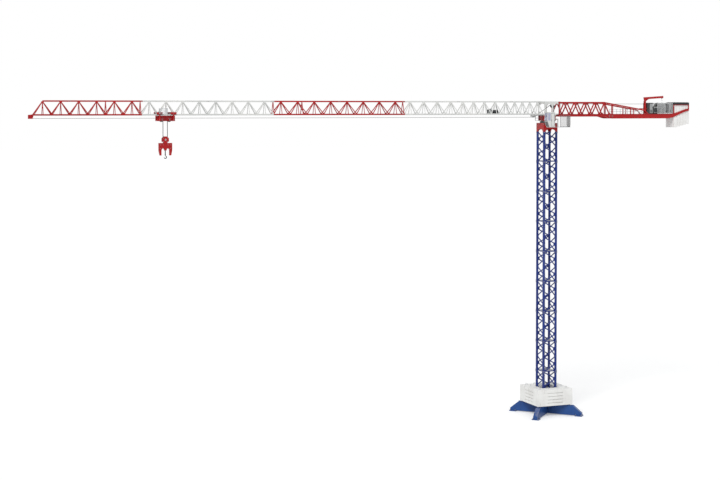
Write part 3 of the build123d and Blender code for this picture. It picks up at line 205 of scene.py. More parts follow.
link(weather, arithmetic(weather, "MULTIPLY", worn, bitten), weather_out.inputs["Edges"])
link(weather, noise(weather, place, 420, 2, 0.5), weather_out.inputs["Peel"])


def mix(tree, factor, first, second):
    """Colour mix of two sockets or colours, as its output socket."""
    made = node(tree, "Mix", data_type="RGBA")
    for index, value in ((0, factor), (6, first), (7, second)):
        if hasattr(value, "is_output"):
            link(tree, value, made.inputs[index])
        else:
            made.inputs[index].default_value = value if isinstance(value, float) else (*value, 1)
    return made.outputs[2]


def bump(tree, height, shader, strength, distance):
    """Bump node from a height socket into a shader's normal."""
    made = tune(node(tree, "Bump"), Strength=strength, Distance=distance)
    link(tree, height, made.inputs["Height"])
    link(tree, made.outputs[0], shader.inputs["Normal"])


def surface(name):
    """New material for one of the record's slots: the material, its tree and its Principled shader."""
    made = bpy.data.materials.new(name)
    made.use_nodes = True
    return made, made.node_tree, made.node_tree.nodes["Principled BSDF"]


def paint(name, colour, faded, primer, soiling=0.35):
    """Satin paint: two tones of one colour, streaks, dust on top faces and primer at worn edges."""
    made, tree, shader = surface(name)
    effects = node(tree, "Group", node_tree=weather)
    tone = mix(tree, effects.outputs["Tone"], colour, faded)
    dark = tuple(0.45 * c + 0.02 for c in colour)
    streaked = arithmetic(tree, "MULTIPLY", effects.outputs["Streaks"], soiling)
    tone = mix(tree, streaked, tone, dark)
    chipped = mix(tree, effects.outputs["Edges"], tone, primer)
    dusty = arithmetic(tree, "MULTIPLY", effects.outputs["Dust"], 0.45)
    link(tree, mix(tree, dusty, chipped, (0.42, 0.39, 0.35)), shader.inputs["Base Color"])
    rough = tune(node(tree, "MapRange"), To_Min=0.38, To_Max=0.72)
    dull = arithmetic(tree, "MAXIMUM", dusty, effects.outputs["Edges"])
    link(tree, dull, rough.inputs["Value"])
    link(tree, rough.outputs[0], shader.inputs["Roughness"])
    tune(shader, Specular_IOR_Level=0.3)
    bump(tree, effects.outputs["Peel"], shader, 0.12, 0.0003)
    return made


def metal(name, colour, light, roughness, pattern_scale, relief=0.0002, metallic=0.9):
    """Metal with a patchy two-tone grain, grime in noise patches and a matching bump."""
    made, tree, shader = surface(name)
    coordinates = node(tree, "TexCoord").outputs["Object"]
    flakes = tune(node(tree, "TexVoronoi"), Scale=pattern_scale)
    link(tree, coordinates, flakes.inputs["Vector"])
    grain = node(tree, "SeparateXYZ")
    link(tree, flakes.outputs["Color"], grain.inputs[0])
    tone = mix(tree, grain.outputs[0], colour, light)
    grime = window(tree, noise(tree, coordinates, 12, 5, 0.6), 0.5, 0.78, 0.6)
    link(tree, mix(tree, grime, tone, (0.06, 0.052, 0.045)), shader.inputs["Base Color"])
    rough = tune(node(tree, "MapRange"), To_Min=roughness, To_Max=roughness + 0.3)
    link(tree, grime, rough.inputs["Value"])
    link(tree, rough.outputs[0], shader.inputs["Roughness"])
    tune(shader, Metallic=metallic)
    bump(tree, grain.outputs[1], shader, 0.15, relief)
    return made


def dress(finish, *names):
    """CAD nodes take a finish in every slot of their mesh, and keep their shape."""
    for name in names:
        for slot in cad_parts[name].material_slots:
            slot.material = finish


def outward(points, faces):
    """Points and faces with the faces turned outwards: the enclosed volume sum(a . b x c) / 6 is positive."""
    volume = 0.0
    for face in faces:
        first = points[face[0]]
        for second, third in zip(face[1:-1], face[2:]):
            volume += np.dot(first, np.cross(points[second], points[third]))
    return points, [face[::-1] for face in faces] if volume < 0 else faces


def loft(rings):
    """Closed solid through rings of equally many points, capped at both ends."""
    rings = np.asarray(rings, float)
    count, around = rings.shape[:2]
    faces = [[i * around + j, i * around + (j + 1) % around,
              (i + 1) * around + (j + 1) % around, (i + 1) * around + j]
             for i in range(count - 1) for j in range(around)]
    faces += [list(range(around))[::-1], [(count - 1) * around + j for j in range(around)]]
    return outward(rings.reshape(-1, 3), faces)


def across_of(start, end):
    """Two unit vectors square to the line from start to end, the first level where that is possible."""
    along = (end - start) / np.linalg.norm(end - start)
    level = np.cross(along, (0, 0, 1) if abs(along[2]) < 0.95 else (0, 1, 0))
    level /= np.linalg.norm(level)
    return level, np.cross(level, along)


def lathe(centre, profile, axis=(0, 1, 0), sides=32):
    """Solid of revolution: rings of radius r at height h along the axis, for each (h, r) of the profile."""
    centre, axis = np.asarray(centre, float), np.asarray(axis, float)
    level, up = across_of(centre, centre + axis)
    turn = np.arange(sides) / sides * 2 * np.pi
    circle = np.cos(turn)[:, None] * level + np.sin(turn)[:, None] * up
    return loft([centre + h * axis + r * circle for h, r in profile])


def bolt(place, direction, size):
    """Hexagon bolt head on a washer: a 12-point ring whose radius alternates between corners and flats."""
    direction = np.asarray(direction, float)
    place = np.asarray(place, float)
    level, up = across_of(place, place + direction)
    turn = np.arange(12) / 12 * 2 * np.pi
    circle = np.cos(turn)[:, None] * level + np.sin(turn)[:, None] * up
    hexagon = circle * np.where(np.arange(12) % 2, 0.866, 1.0)[:, None]
    rings = ((circle, 0.95, -0.1), (circle, 0.95, 0.16), (hexagon, 0.78, 0.16), (hexagon, 0.78, 0.62),
             (circle, 0.6, 0.72))
    return loft([place + size * (scale * ring + lift * direction) for ring, scale, lift in rings])


def piece(name, parts, finish, body, replaced=(), sharp=40):
    """One object of closed solids given in millimetres, which rides on a body where one is named."""
    offsets = np.cumsum([0] + [len(points) for points, _ in parts])
    points = np.concatenate([points for points, _ in parts]) * 0.001
    faces = [[index + int(start) for index in face]
             for start, (_, solid_faces) in zip(offsets, parts) for face in solid_faces]
    mesh = bpy.data.meshes.new(name)
    mesh.from_pydata(points.tolist(), [], faces)
    mesh.polygons.foreach_set("use_smooth", [True] * len(mesh.polygons))
    mesh.set_sharp_from_angle(angle=math.radians(sharp))
    mesh.materials.append(finish)
    made = bpy.data.objects.new(name, mesh)
    bpy.context.collection.objects.link(made)
    made.modifiers.new("flat_faces", "WEIGHTED_NORMAL").keep_sharp = True
    if body:
        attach(made, body)
    if replaced:
        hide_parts(*replaced)
    return made


def turned(parts, quarter):
    """Parts turned about the mast's axis by a number of quarter turns."""
    cosine, sine = ((1, 0), (0, 1), (-1, 0), (0, -1))[quarter]
    spin = np.array([[cosine, -sine, 0], [sine, cosine, 0], [0, 0, 1]], float)
    return [(points @ spin.T, faces) for points, faces in parts]


def all_round(parts):
    """Parts on all four sides of the mast."""
    return [solid for quarter in range(4) for solid in turned(parts, quarter)]


base_paint = paint("base_paint", (0.008, 0.046, 0.20), (0.018, 0.075, 0.26), (0.16, 0.16, 0.17))
bolt_steel = metal("bolt_steel", (0.30, 0.30, 0.31), (0.42, 0.42, 0.42), 0.34, 300)
dress(base_paint, "base_long_beam", "base_half_beams", "foot_plates", "mast_feet", "ballast_bearers")
foot_place, stud_place = 375.5, 59.4
near_stud, far_stud = foot_place - stud_place, foot_place + stud_place
foot_plate_top = 12
nuts = []
for x, y in ((far_stud, foot_place), (near_stud, foot_place), (foot_place, far_stud), (foot_place, near_stud)):
    nuts.append(bolt((x, y, foot_plate_top), (0, 0, 1), 11))
    nuts.append(lathe((x, y, foot_plate_top + 6), [(0, 5.2), (8, 5.2), (9, 4.4)], (0, 0, 1), 20))
piece("anchor_nuts", all_round(nuts), bolt_steel, "tower")


# Ballast.
# Nearly white cast slabs lie on the cross base round the mast's foot, with stains, dark runs from
# their joints, sand grain and blow holes. Bent loops of galvanised bar stand in the top slabs.
def cast_concrete(name, pale, stained):
    """Concrete with stains, vertical runs, sandy grain and small pits, painted dark as shade inside them."""
    made, tree, shader = surface(name)
    coordinates = node(tree, "TexCoord").outputs["Object"]
    clouds = window(tree, noise(tree, coordinates, 3.5, 6, 0.6), 0.35, 0.72)
    smears = noise(tree, coordinates, 26, 4, 0.6, (1, 1, 0.12))
    runs = window(tree, smears, 0.55, 0.8, 0.55)
    sand = noise(tree, coordinates, 260, 3, 0.6)
    tone = mix(tree, clouds, pale, stained)
    tone = mix(tree, runs, tone, (0.36, 0.34, 0.31))
    pits = tune(node(tree, "TexVoronoi"), Scale=70)
    link(tree, coordinates, pits.inputs["Vector"])
    hollow = window(tree, pits.outputs["Distance"], 0.10, 0.16)
    rare = window(tree, noise(tree, coordinates, 8, 2), 0.52, 0.6)
    inside = arithmetic(tree, "SUBTRACT", 1.0, hollow)
    holes = arithmetic(tree, "MULTIPLY", inside, rare)
    # The pits are painted dark: painted shade inside the blow holes, beside their bump.
    link(tree, mix(tree, holes, tone, (0.28, 0.27, 0.25)), shader.inputs["Base Color"])
    tune(shader, Roughness=0.86)
    depth = arithmetic(tree, "MULTIPLY", holes, 2.0)
    bump(tree, arithmetic(tree, "SUBTRACT", sand, depth), shader, 0.35, 0.0008)
    return made


def cable(path, radius, sides=10, closed=False):
    """Round bar along a path of points; radius is one number or one for each point."""
    path = np.asarray(path, float)
    ahead = np.roll(path, -1, 0) - np.roll(path, 1, 0)
    if not closed:
        ahead[0], ahead[-1] = path[1] - path[0], path[-1] - path[-2]
    ahead /= np.linalg.norm(ahead, axis=1)[:, None]
    flat = np.linalg.svd(path - path.mean(0))[2][2] if len(path) > 2 else across_of(path[0], path[1])[0]
    level = np.cross(ahead, flat)
    level /= np.linalg.norm(level, axis=1)[:, None]
    up = np.cross(level, ahead)
    turn = np.arange(sides) / sides * 2 * np.pi
    size = np.broadcast_to(radius, len(path))[:, None, None]
    rings = path[:, None] + size * (np.cos(turn)[:, None] * level[:, None] + np.sin(turn)[:, None] * up[:, None])
    if not closed:
        return loft(rings)
    count = len(path)
    faces = [[i * sides + j, i * sides + (j + 1) % sides, (i + 1) % count * sides + (j + 1) % sides,
              (i + 1) % count * sides + j] for i in range(count) for j in range(sides)]
    return outward(rings.reshape(-1, 3), faces)


def arc(centre, radius, start, end, y, steps=12):
    """Points of an arc in the plane Y = y: centre + radius (cos a, sin a), angles in degrees."""
    angles = np.radians(np.linspace(start, end, steps))
    return [(centre[0] + radius * math.cos(a), y, centre[1] + radius * math.sin(a)) for a in angles]


ballast_concrete = cast_concrete("ballast_concrete", (0.86, 0.86, 0.84), (0.76, 0.75, 0.73))
galvanised = metal("galvanised", (0.42, 0.44, 0.45), (0.60, 0.62, 0.63), 0.42, 160)
dress(ballast_concrete, "ballast_front", "ballast_rear", "ballast_left", "ballast_right")
slab_middle, slab_top, loop_top, loop_half = -220, 423.7, 438, 15
loops = []
for quarter in range(4):
    bent_bars = []
    for x in (-230, -90, 90, 230) if quarter % 2 == 0 else (-90, 90):
        rise = [(x - loop_half, slab_middle, slab_top), (x - loop_half, slab_middle, loop_top)]
        bend = arc((x, loop_top), loop_half, 180, 0, slab_middle, 10)
        bent_bars.append(cable(rise + bend + [(x + loop_half, slab_middle, slab_top)], 2.6, 8))
    loops += turned(bent_bars, quarter)
piece("lifting_loops", loops, galvanised, "tower")


# Mast.
# Welded lattice sections in blue paint: square chords, round bracing tubes on all four faces and
# gussets where they meet.
def sweep(start, end, outline):
    """Closed bar from start to end whose section is the outline (u level, v upright)."""
    start, end = np.asarray(start, float), np.asarray(end, float)
    level, up = across_of(start, end)
    ring = np.asarray(outline)[:, :1] * level + np.asarray(outline)[:, 1:] * up
    return loft([start + ring, end + ring])


def round_section(radius, sides=12):
    """Circle p(a) = radius (cos a, sin a)."""
    turn = (np.arange(sides) + 0.5) / sides * 2 * np.pi
    return np.stack([radius * np.cos(turn), radius * np.sin(turn)], 1)


def box_section(wide, high, rounding):
    """Rectangle whose corners are arcs of the given radius, three points each."""
    corners = ((1, 1, 0), (-1, 1, 90), (-1, -1, 180), (1, -1, 270))
    return [(sx * (wide / 2 - rounding) + rounding * math.cos(math.radians(turn + step)),
             sy * (high / 2 - rounding) + rounding * math.sin(math.radians(turn + step)))
            for sx, sy, turn in corners for step in (0, 45, 90)]


def tube(start, end, radius, sides=12):
    """Closed round bar between two points."""
    return sweep(start, end, round_section(radius, sides))


def bar(start, end, wide, high=None):
    """Closed bar with a rounded rectangular section, wide across and high upwards."""
    high = high or wide
    return sweep(start, end, box_section(wide, high, 0.13 * min(wide, high)))


def slab(outline, axis, low, high):
    """Plate with an outline in the two other axes, from low to high along the axis (0, 1 or 2)."""
    flat = np.asarray(outline, float)
    return loft([np.insert(flat, axis, level, axis=1) for level in (low, high)])


mast_paint = paint("mast_paint", (0.005, 0.020, 0.17), (0.010, 0.034, 0.22), (0.13, 0.13, 0.16))
dress(mast_paint, "mast_lower", "mast_middle", "mast_upper")
mast_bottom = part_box("mast_lower")[0][2] * 1000
mast_half, mast_chord, gusset = 106.0, 29, 2.5
sections, section_height = 3, 468.0
braces = 4
node_step = section_height / braces
face_back, face_front = -mast_half - gusset, -mast_half + gusset
for part, name in enumerate(("mast_lower", "mast_middle", "mast_upper")):
    side = []
    foot = mast_bottom + sections * part * section_height
    for k in range(sections * braces):
        hand = -1 if k % 2 == 0 else 1
        z = foot + k * node_step
        start = np.array([hand * mast_half, -mast_half, z])
        end = np.array([-hand * mast_half, -mast_half, foot + (k + 1) * node_step])
        trim = 0.04 * (end - start)
        side.append(tube(start + trim, end - trim, 9.0))
        edge, tip = hand * 93, hand * 64
        if k % braces:
            plate = [(edge, z - 34), (edge, z + 34), (tip, z + 12), (tip, z - 12)]
            side.append(slab(plate, 1, face_back, face_front))
    for k in range(sections):
        z = foot + k * section_height
        side.append(bar((-97, -mast_half, z + 7), (97, -mast_half, z + 7), 13))
        for hand in (-1, 1):
            corner = [(hand * 93, z), (hand * 93, z + 46), (hand * 60, z + 13), (hand * 60, z)]
            side.append(slab(corner, 1, face_back, face_front))
    head = foot + sections * section_height
    side.append(bar((-mast_half, -mast_half, foot), (-mast_half, -mast_half, head), mast_chord))
    piece(name + "_steel", all_round(side), mast_paint, "tower", (name,))

# Mast joints.
# A sleeve of blue painted steel sits round every chord where two sections join, with four bolts
# a face. The lowest and the highest sleeve are cut in half by the foot and by the support.
sleeve_half, sleeve_face = 21, mast_half + 17.5
joints = 3 * sections
sleeves, sleeve_bolts = [], []
for k in range(joints + 1):
    z = mast_bottom + k * section_height
    low, high = (0 if k == 0 else -sleeve_half), (0 if k == joints else sleeve_half)
    corner = [bar((-mast_half, -mast_half, z + low), (-mast_half, -mast_half, z + high), 35)]
    places = [(u, v) for u in (-8, 8) for v in (-11, 11) if low < v < high]
    heads = [bolt((-mast_half + u, -sleeve_face, z + v), (0, -1, 0), 5.2) for u, v in places]
    heads += [bolt((-sleeve_face, -mast_half + u, z + v), (-1, 0, 0), 5.2) for u, v in places]
    sleeves += all_round(corner)
    sleeve_bolts += all_round(heads)
piece("mast_sleeves", sleeves, mast_paint, "tower")
piece("mast_sleeve_bolts", sleeve_bolts, bolt_steel, "tower")

# Ladder and floors.
# The ladder is galvanised. Rest platforms, cab platforms and the counter-jib's walkway are sheet
# steel with a raised diamond tread, worn bright where people walk.
tread_steel, tree, shader = surface("tread_steel")
coordinates = node(tree, "TexCoord").outputs["Object"]
ribs = []
for turn in (45, -45):
    slant = tune(node(tree, "Mapping"), Rotation=(0, 0, math.radians(turn)), Scale=(420, 140, 1))
    wave = tune(node(tree, "TexWave"), Scale=0.5)
    link(tree, coordinates, slant.inputs["Vector"])
    link(tree, slant.outputs[0], wave.inputs["Vector"])
    ribs.append(window(tree, wave.outputs[1], 0.6, 0.9))
raised = arithmetic(tree, "MAXIMUM", ribs[0], ribs[1])
trodden = window(tree, noise(tree, coordinates, 7, 5, 0.6), 0.35, 0.7)
sheet = mix(tree, trodden, (0.22, 0.23, 0.235), (0.40, 0.41, 0.42))
link(tree, mix(tree, raised, sheet, (0.52, 0.53, 0.54)), shader.inputs["Base Color"])
tune(shader, Metallic=0.7, Roughness=0.5)
bump(tree, raised, shader, 0.4, 0.0006)
dress(tread_steel, "mast_platforms", "platform_decks", "counter_jib_decks")
dress(galvanised, "mast_ladder", "handrails")


# Slewing unit.
# A red welded box on the mast carries the toothed ring, on which the turning frame stands. Rows
# of bolts hold the box to the mast and the turret's base plate to the turning frame.
red_paint = paint("red_paint", (0.37, 0.004, 0.006), (0.43, 0.008, 0.009), (0.17, 0.10, 0.09))
ring_steel = metal("ring_steel", (0.10, 0.10, 0.11), (0.19, 0.19, 0.20), 0.36, 220)
dress(red_paint, "slewing_support", "slewing_frame")
dress(ring_steel, "slewing_ring_outer", "slewing_ring_inner")
frame_face, frame_row = 100, 4660
rows = []
for side in (-1, 1):
    rows += [bolt((x, side * frame_face, frame_row), (0, side, 0), 4.2) for x in range(-90, 95, 20)]
    rows += [bolt((side * frame_face, y, frame_row), (side, 0, 0), 4.2) for y in range(-90, 95, 20)]
piece("frame_bolts", rows, bolt_steel, "upper")
support_face = 120.5
face_bolts = [bolt((x, -support_face, z), (0, -1, 0), 4.6) for x in (-112, -100, 100, 112) for z in (4528, 4540)]
piece("support_bolts", all_round(face_bolts), bolt_steel, "tower")


# Turret.
# White plated sides with arched windows, welded to a base plate that is bolted on the slewing
# unit. The brackets of the rope pulleys are welded to it in the same paint.
white_paint = paint("white_paint", (0.72, 0.72, 0.70), (0.62, 0.63, 0.62), (0.32, 0.30, 0.28), 0.22)
dress(white_paint, "turret_base", "turret", "pulley_brackets")

# Driver's cab.
# A white sheet-steel cab with glass panes, rubber seals and a folded roof rim hangs on arms beside
# the turret. The panes carry a painted sky reflection, lavender above the waist, and painted shade, near black
# below it.
cab_glass, tree, shader = surface("cab_glass")
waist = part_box("cab_shell")[0][2] + 0.085
coordinates = node(tree, "TexCoord").outputs["Object"]
height = node(tree, "SeparateXYZ")
link(tree, coordinates, height.inputs[0])
upper = window(tree, height.outputs[2], waist, waist + 0.017)
haze = window(tree, noise(tree, coordinates, 14, 4), 0.45, 0.75, 0.35)
# Painted reflection and painted shade in the panes' colour: lavender sky above the waist, near black below it.
painted_reflection_and_shade = mix(tree, upper, (0.010, 0.011, 0.016), (0.46, 0.47, 0.62))
link(tree, mix(tree, haze, painted_reflection_and_shade, (0.54, 0.54, 0.58)), shader.inputs["Base Color"])
tune(shader, Metallic=0.25, Roughness=0.09, Coat_Weight=0.35, Coat_Roughness=0.03, Alpha=0.86)
dark_paint = paint("dark_paint", (0.022, 0.024, 0.027), (0.05, 0.052, 0.055), (0.16, 0.15, 0.14))
black_steel = metal("black_steel", (0.018, 0.019, 0.021), (0.05, 0.05, 0.055), 0.45, 240,
                    0.0003, 0.6)
guard_steel = metal("guard_steel", (0.13, 0.135, 0.135), (0.21, 0.215, 0.22), 0.5, 160, metallic=0.6)
dress(white_paint, "cab_shell", "cab_arms")
dress(cab_glass, "cab_glass")
dress(dark_paint, "cab_seat")
dress(guard_steel, "side_guard")
dress(black_steel, "front_rails")
cab_front, cab_back, cab_near, cab_far, roof_rim = -141, -12, -281, -179, 4718
trim, rubber, handles = [], [], []
for y in (cab_near + 0.5, cab_far - 0.5):
    trim.append(bar((cab_front, y, roof_rim), (cab_back, y, roof_rim), 4, 7))
for x in (cab_front, cab_back - 0.5):
    trim.append(bar((x, cab_near, roof_rim), (x, cab_far, roof_rim), 4, 7))
door = [(-76, 4503), (-76, 4702), (-22, 4702), (-22, 4503)]
for (ax, az), (bx, bz) in zip(door, door[1:] + door[:1]):
    rubber.append(bar((ax, cab_near + 0.4, az), (bx, cab_near + 0.4, bz), 2, 2.2))
for z in (4530, 4674):
    handles.append(tube((-22, cab_near - 1.5, z - 6), (-22, cab_near - 1.5, z + 6), 2))
for x, out, low, high, bend, radius in ((-70, 5, 4588, 4610, 2, 1.3), (-17, 8, 4560, 4664, 4, 1.6)):
    far = cab_near - out
    path = [(x, cab_near, low), (x, far, low + bend), (x, far, high - bend), (x, cab_near, high)]
    handles.append(cable(path, radius, 8))
for z in (4590, 4585, 4708):
    rubber.append(bar((-140.8, -274, z), (-140.8, -186, z), 2, 2.4))
handles.append(cable([(-142, -230, 4594), (-144, -232, 4640), (-142.5, -250, 4676)], 1.2, 8))
piece("cab_rims", trim, white_paint, "upper")
piece("cab_seals", rubber, dark_paint, "upper")
piece("cab_handles", handles, black_steel, "upper")


# Jib.
# Three square chords, welded to round bracing tubes with gussets; the trolley's rails stand out
# from the bottom chords. Stretches of white and red paint follow each other towards the tip.
jib_low, jib_high, jib_half = 4690.0, 4880.0, 60.0
chord_wide, chord_high = 18.0, 21.0
rail_near, rail_far, rail_low, rail_high = 66, 79, jib_low - 7, jib_low - 4
brace_low, brace_high, brace_out, brace_in = jib_low + 4, jib_high - 4, jib_half - 1, 2.5
lean = jib_half / (jib_high - jib_low)
plate_half = 1.5


def jib_stretch(name, start, panels, finish, replaced, last=0.0):
    """Lattice from x = -start towards the tip. In a panel from x to x - p the braces run from the
    bottom chords at x and x - p, and posts from x - p / 2, to the top chord at x - p / 2."""
    x = -start
    end = x - sum(panels)
    solids = [bar((x, 0, jib_high), (end + last, 0, jib_high), chord_wide, chord_high)]
    for side in (-1, 1):
        y = side * jib_half
        solids.append(bar((x, y, jib_low), (end, y, jib_low), chord_wide, chord_high))
        rail = [(side * rail_near, rail_low), (side * rail_far, rail_low),
                (side * rail_far, rail_high), (side * rail_near, rail_high)]
        solids.append(slab(rail, 0, end, x))
    for k, pitch in enumerate(panels):
        top = x - pitch / 2
        for side in (-1, 1):
            y = side * brace_out
            peak = (top, side * brace_in, brace_high)
            solids.append(tube((x, y, brace_low), peak, 7.0, 10))
            solids.append(tube(peak, (x - pitch, y, brace_low), 7.0, 10))
            solids.append(tube((top, y, brace_low), peak, 5.2, 10))
            if k:
                flare = [(x + 17, 4), (x - 17, 4), (x - 7, 25), (x + 7, 25)]
                solids.append(loft([[(px, side * (jib_half - rise * lean) + half, jib_low + rise)
                                     for px, rise in flare] for half in (-plate_half, plate_half)]))
        plate = [(top - 22, jib_high - 6), (top + 22, jib_high - 6),
                 (top + 9, jib_high - 30), (top - 9, jib_high - 30)]
        solids.append(slab(plate, 1, -plate_half, plate_half))
        solids.append(bar((x - 4.5, -jib_half, jib_low), (x - 4.5, jib_half, jib_low), 9))
        corner = (jib_half - 6) * (1 if k % 2 else -1)
        solids.append(tube((x - 6, corner, jib_low), (x - pitch - 3, -corner, jib_low), 3.6, 10))
        x -= pitch
    piece(name, solids, finish, "upper", replaced)


dress(red_paint, "jib_red", "jib_tip_red", "jib_nose")
dress(white_paint, "jib_root", "jib_inner_white", "jib_outer_white")
root_start, red_start, white_start, tip_start = 100, 2440, 4500, 6440
jib_stretch("jib_white_near", root_start, [132.5] * 4 + [182] * 5 + [225] * 4, white_paint,
            ("jib_root", "jib_inner_white"))
jib_stretch("jib_red_middle", red_start, [257.5] * 8, red_paint, ("jib_red",))
jib_stretch("jib_white_far", white_start, [242.5] * 8, white_paint, ("jib_outer_white",))
jib_stretch("jib_red_tip", tip_start, [149 * 5 / 3] * 6, red_paint, ("jib_tip_red",), 124.0)
posts = []
for x in (red_start + 8, 4048, white_start - 8, tip_start + 8, 6937):
    for side in (-1, 1):
        posts.append(tube((-x, side * brace_out, brace_low), (-x, side * brace_in, brace_high), 6.0, 10))
piece("jib_end_posts", posts, red_paint, "upper")

# Jib joints.
# Fork lugs in the jib's paint, each with two galvanised pins, hold the chords of one section to the
# next. The bottom chords have them on the inner side only, clear of the rails.
lugs, lug_pins = {True: [], False: []}, []
for x, red in ((-630, False), (-1530, False), (-red_start, True), (-3470, True), (-white_start, False),
               (-5470, False), (-tip_start, True), (-7433, True)):
    for y, z in ((0, jib_high), (-jib_half, jib_low), (jib_half, jib_low)):
        for side in (-1, 1):
            if side * y > 0:
                continue
            outline = [(x - 26, z - 7), (x - 20, z - 9.5), (x + 20, z - 9.5), (x + 26, z - 7),
                       (x + 26, z + 7), (x + 20, z + 9.5), (x - 20, z + 9.5), (x - 26, z + 7)]
            lugs[red].append(slab(outline, 1, y + side * 9, y + side * 12))
            lug_pins += [bolt((x + step, y + side * 12, z), (0, side, 0), 5.5) for step in (-12, 12)]
piece("jib_lugs_red", lugs[True], red_paint, "upper")
piece("jib_lugs_white", lugs[False], white_paint, "upper")
piece("jib_lug_pins", lug_pins, bolt_steel, "upper")

# Trolley winch.
# Geared motor and small grooved drum, bolted to a base frame between the jib's chords. The frame
# is grey and the drive dark, both in paint.
grey_paint = paint("grey_paint", (0.31, 0.32, 0.32), (0.40, 0.41, 0.41), (0.10, 0.09, 0.08))
dress(grey_paint, "trolley_winch")
winch_floor = jib_low + 7
winch_base, winch_dark = [], []
for y in (-26, 26):
    winch_base.append(bar((-1036, y, winch_floor), (-845, y, winch_floor), 9, 6))
for x in (-1030, -935, -851):
    winch_base.append(bar((x, -30, winch_floor), (x, 30, winch_floor), 8, 5))
cheek = [(-1035, 4700), (-955, 4700), (-968, 4752), (-986, 4764), (-1004, 4764), (-1022, 4752)]
for y in (-24, 24):
    winch_base.append(slab(cheek, 1, y - 2.5, y + 2.5))
grooves = [(-16 + k * 1.6, 26.6 if k % 2 else 25.4) for k in range(21)]
small_drum = [(-21, 34), (-18, 34), (-17, 26)] + grooves + [(17, 26), (18, 34), (21, 34)]
winch_dark.append(lathe((-995, 0, 4738), small_drum, sides=36))
motor_z = 4728
motor = [(0, 26), (30, 26), (33, 29), (60, 29), (63, 25), (92, 25), (96, 20), (97, 4)]
winch_dark.append(lathe((-950, 0, motor_z), motor, (1, 0, 0)))
for turn in np.arange(12) * math.pi / 6:
    spot = 26 * np.array([0, math.cos(turn), math.sin(turn)])
    winch_dark.append(bar((-884, 0, motor_z) + spot, (-862, 0, motor_z) + spot, 2.2, 5))
winch_dark.append(bar((-945, 0, 4706), (-860, 0, 4706), 34, 12))
piece("trolley_winch_frame", winch_base, grey_paint, "upper", ("trolley_winch",))
piece("trolley_winch_drive", winch_dark, dark_paint, "upper")


# Counter-jib sides.
# Each side is a welded channel girder that deepens and then sweeps up to the tail, with a lattice
# over it, in red paint. The tail is an open frame that shows the heads of the counterweights.
deck = 4690.0


def swell(x, start, end, low, high):
    """Smooth step between two levels: low + (high - low) s^2 (3 - 2 s), s from 0 at start to 1 at end."""
    s = min(max((x - start) / (end - start), 0.0), 1.0)
    return low + (high - low) * s * s * (3 - 2 * s)


def channel(x, side):
    """Twelve-point section of the girder at x: outer web with lips along its lower and upper edge."""
    low = swell(x, 940, 1090, deck - 40, deck - 72) + swell(x, 2110, 2560, 0, 126)
    high = deck + swell(x, 2170, 2560, 0, 90)
    outline = [(106, low), (120, low), (120, low + 6), (116, low + 8), (116, high - 8), (120, high - 6),
               (120, high), (106, high), (106, high - 6), (110, high - 8), (110, low + 8), (106, low + 6)]
    return [(x, side * y, z) for y, z in outline]


dress(red_paint, "counter_jib_sides", "counter_jib_cross_members")
truss_start, top_level, sill = 142, deck + 178, deck - 4
slope_start, slope_end, slope_low = 975.0, 1700.0, deck + 58
stations = [truss_start, 500, 940, 970, 1000, 1030, 1060, 1090, 1600, *np.linspace(2110, 2530, 15)]
truss = [(truss_start + k * 180.6 / 2, k % 2) for k in range(11)]
tail_top = 4834
girders = []
for side in (-1, 1):
    y = side * 113
    girders.append(loft([channel(x, side) for x in stations]))
    girders.append(bar((truss_start, y, top_level), (slope_start, y, top_level), 14, 26))
    girders.append(bar((slope_start - 4, y, top_level), (slope_end, y, slope_low), 14, 20))
    girders.append(bar((truss_start + 10, y, sill), (truss_start + 10, y, top_level), 14, 17))
    girders.append(bar((slope_end, y, slope_low), (slope_end + 62, y, deck - 3), 13, 15))
    for (x0, high0), (x1, high1) in zip(truss[:-1], truss[1:]):
        start = (x0 + 4, y, top_level if high0 else sill)
        girders.append(bar(start, (x1 + 4, y, top_level if high1 else sill), 12, 18))
    for x in (1092, 1112, 1436, 1490):
        fall = (x - slope_start) / (slope_end - slope_start)
        girders.append(bar((x, y, sill), (x, y, top_level + fall * (slope_low - top_level)), 11, 13))
    for x, at_top in truss[1:]:
        z, reach = (top_level - 8, -22) if at_top else (deck - 2, 22)
        gusset_outline = [(x - 24, z), (x + 32, z), (x + 15, z + reach), (x - 7, z + reach)]
        girders.append(slab(gusset_outline, 1, y - 4, y + 4))
    for x in (2243, 2523):
        girders.append(bar((x, y, channel(x, 1)[6][2] - 4), (x, y, tail_top + 2), 13, 14))
    girders.append(bar((2236, y, tail_top), (2530, y, tail_top), 14, 7))
piece("counter_jib_steel", girders, red_paint, "upper", ("counter_jib_sides",))

# Counter-jib joints.
# Splice plates join the two halves of the girders, with rows of galvanised bolts. More bolts hold
# the girders at their root.
splice_x, web_face, splice_face = 1075, 116, 120.5
plate = [(splice_x - 44, 4634), (splice_x + 44, 4634), (splice_x + 44, 4682), (splice_x - 44, 4682)]
splices, splice_bolts = [], []
for side in (-1, 1):
    splices.append(slab(plate, 1, *sorted((side * web_face, side * splice_face))))
    splice_bolts += [bolt((splice_x + u, side * splice_face, z), (0, side, 0), 4.6)
                     for u in (-34, -20, 20, 34) for z in (4643, 4658, 4673)]
    splice_bolts += [bolt((x, side * web_face, z), (0, side, 0), 4.6)
                     for x in (160, 190, 220) for z in (4664, 4676)]
piece("counter_splices", splices, red_paint, "upper")
piece("counter_splice_bolts", splice_bolts, bolt_steel, "upper")

